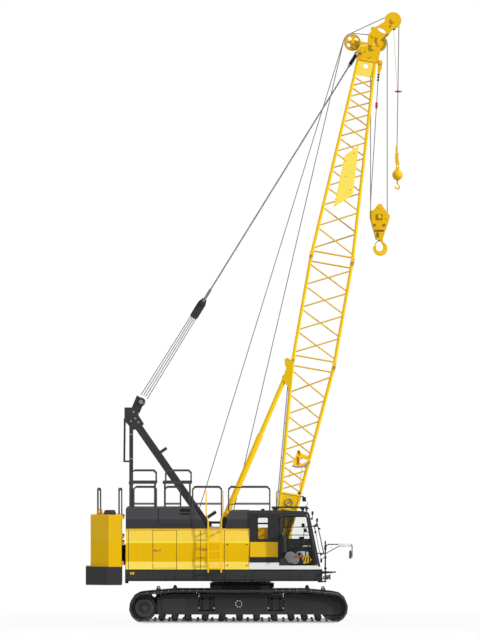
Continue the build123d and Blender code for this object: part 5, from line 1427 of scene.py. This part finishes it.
gantryParts = []
for side in (-1, 1):
    gantryParts.append(cap((-2.890, side * 0.190, 6.330), (0, side, 0), 0.065, 0.03))
    gantryParts.append(cap((-1.0, side * 0.700, 2.80), (0, side, 0), 0.085, 0.03))
    for x, z in ((-3.10, 6.05), (-3.05, 5.86), (-2.96, 5.75), (-3.17, 5.78)):
        gantryParts += bolts([Vector((x, side * 0.675, z))], (0, side, 0), 0.02, 0.016)
    for z in (2.0, 3.2, 3.9, 4.7, 5.4):
        gantryParts += bolts([Vector((x, side * 0.675, z)) for x in (-3.20, -3.14)], (0, side, 0), 0.015, 0.012)
fit("gantryCaps", gantryParts, "upper", "machined")
legs = []
for x in (-4.13, -3.52):
    for side in (-1, 1):
        y = side * 1.18
        shape = [(x, y - 0.03, 3.80), (x + 0.015, y - 0.03, 3.835), (x + 0.045, y - 0.03, 3.842),
                 (x + 0.07, y - 0.03, 3.83),
                 (x + 0.078, y - 0.03, 3.79), (x + 0.078, y - 0.03, 3.095)]
        legs.append(bentTube(shape, 0.012, resolution=2))
        legs.append(softBlock((x - 0.012, y - 0.05, 3.79), (x + 0.085, y + 0.0, 3.838), 0.015))
fit("hoopLegs", legs, "upper", "rail")

# rope on the winch drums

coils = []
for x, z, radius, half in ((-1.293, 2.020, 0.282, 0.285), (-0.207, 2.030, 0.282, 0.285), (-2.600, 1.960, 0.202, 0.245)):
    turns = int(2 * half / 0.026)
    count = turns * 20
    route = [Vector((x + radius * math.cos(math.tau * i / 20), -half + 2 * half * i / count,
                     z + radius * math.sin(math.tau * i / 20))) for i in range(count + 1)]
    coils.append(bentTube(route, 0.0125, resolution=1))
fit("drumCoils", coils, "upper", "hoistRope")
print("gantry, hoops and rope coils are made")

# ---- seat: padded cushion, back and head rest on a moulded shell


def pad(name, low, high, lean, swell):
    # stuffed pad: remeshed block blown up under pressure, held within a small reach of its first shape
    piece = softBlock(low, high, 0.045, 4)
    modified(piece, "REMESH", mode="VOXEL", voxel_size=0.012, use_smooth_shade=True)
    start = [v.co.copy() for v in piece.data.vertices]
    activate(piece)
    cloth = piece.modifiers.new("cloth", "CLOTH")
    cloth.settings.use_pressure = True
    cloth.settings.uniform_pressure_force = 4
    cloth.settings.effector_weights.gravity = 0
    for number in range(1, 21):
        scene.frame_set(number)
    bpy.ops.object.modifier_apply(modifier=cloth.name)
    scene.frame_set(1)
    for vertex, first in zip(piece.data.vertices, start):
        shift = vertex.co - first
        if shift.length > swell:
            vertex.co = first + shift.normalized() * swell
    middle = (Vector(low) + Vector(high)) / 2
    size = Vector(high) - Vector(low)
    flat = min(range(3), key=lambda axis: size[axis])
    side = [axis for axis in range(3) if axis != flat]
    for vertex in piece.data.vertices:
        fromMiddle = vertex.co - middle
        edge = max(abs(fromMiddle[axis]) / (size[axis] / 2) for axis in side)
        for place in (-0.17, 0.17):
            groove = math.exp(-((fromMiddle.y - place * size.y / 0.5) / 0.012) ** 2)
            vertex.co[flat] -= math.copysign(0.007 * groove * max(0, 1 - edge ** 6), fromMiddle[flat])
    piece.data.update()
    modified(piece, "SUBSURF", levels=1)
    turn = Matrix.Translation(middle) @ Matrix.Rotation(math.radians(lean), 4, "Y") @ Matrix.Translation(-middle)
    piece.data.transform(turn)
    fit(name, [smoothed(piece, 60)], "upper", "seat")


seatFrame = [softBlock((1.33, -1.38, 1.61), (1.68, -1.02, 1.83), 0.02),
             softBlock((1.25, -1.42, 1.83), (1.77, -0.98, 1.87), 0.015),
             cutPlate([Vector((x, -1.42, z)) for x, z in ((1.16, 1.88), (1.20, 1.88), (1.15, 2.56), (1.115, 2.56))],
                      0.44, 0.012),
             roundRod((1.17, -1.26, 2.50), (1.165, -1.26, 2.66), 0.010, 12),
             roundRod((1.17, -1.14, 2.50), (1.165, -1.14, 2.66), 0.010, 12)]
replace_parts(fit("seatFrame", seatFrame, "upper", "black"), "operator_seat")
pad("seatCushion", (1.26, -1.425, 1.868), (1.785, -0.975, 1.975), 0, 0.02)
pad("seatBack", (1.165, -1.42, 1.965), (1.27, -0.98, 2.54), -4, 0.02)
pad("seatHead", (1.135, -1.34, 2.59), (1.215, -1.06, 2.75), -4, 0.014)
print("seat is made")

low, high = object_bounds()
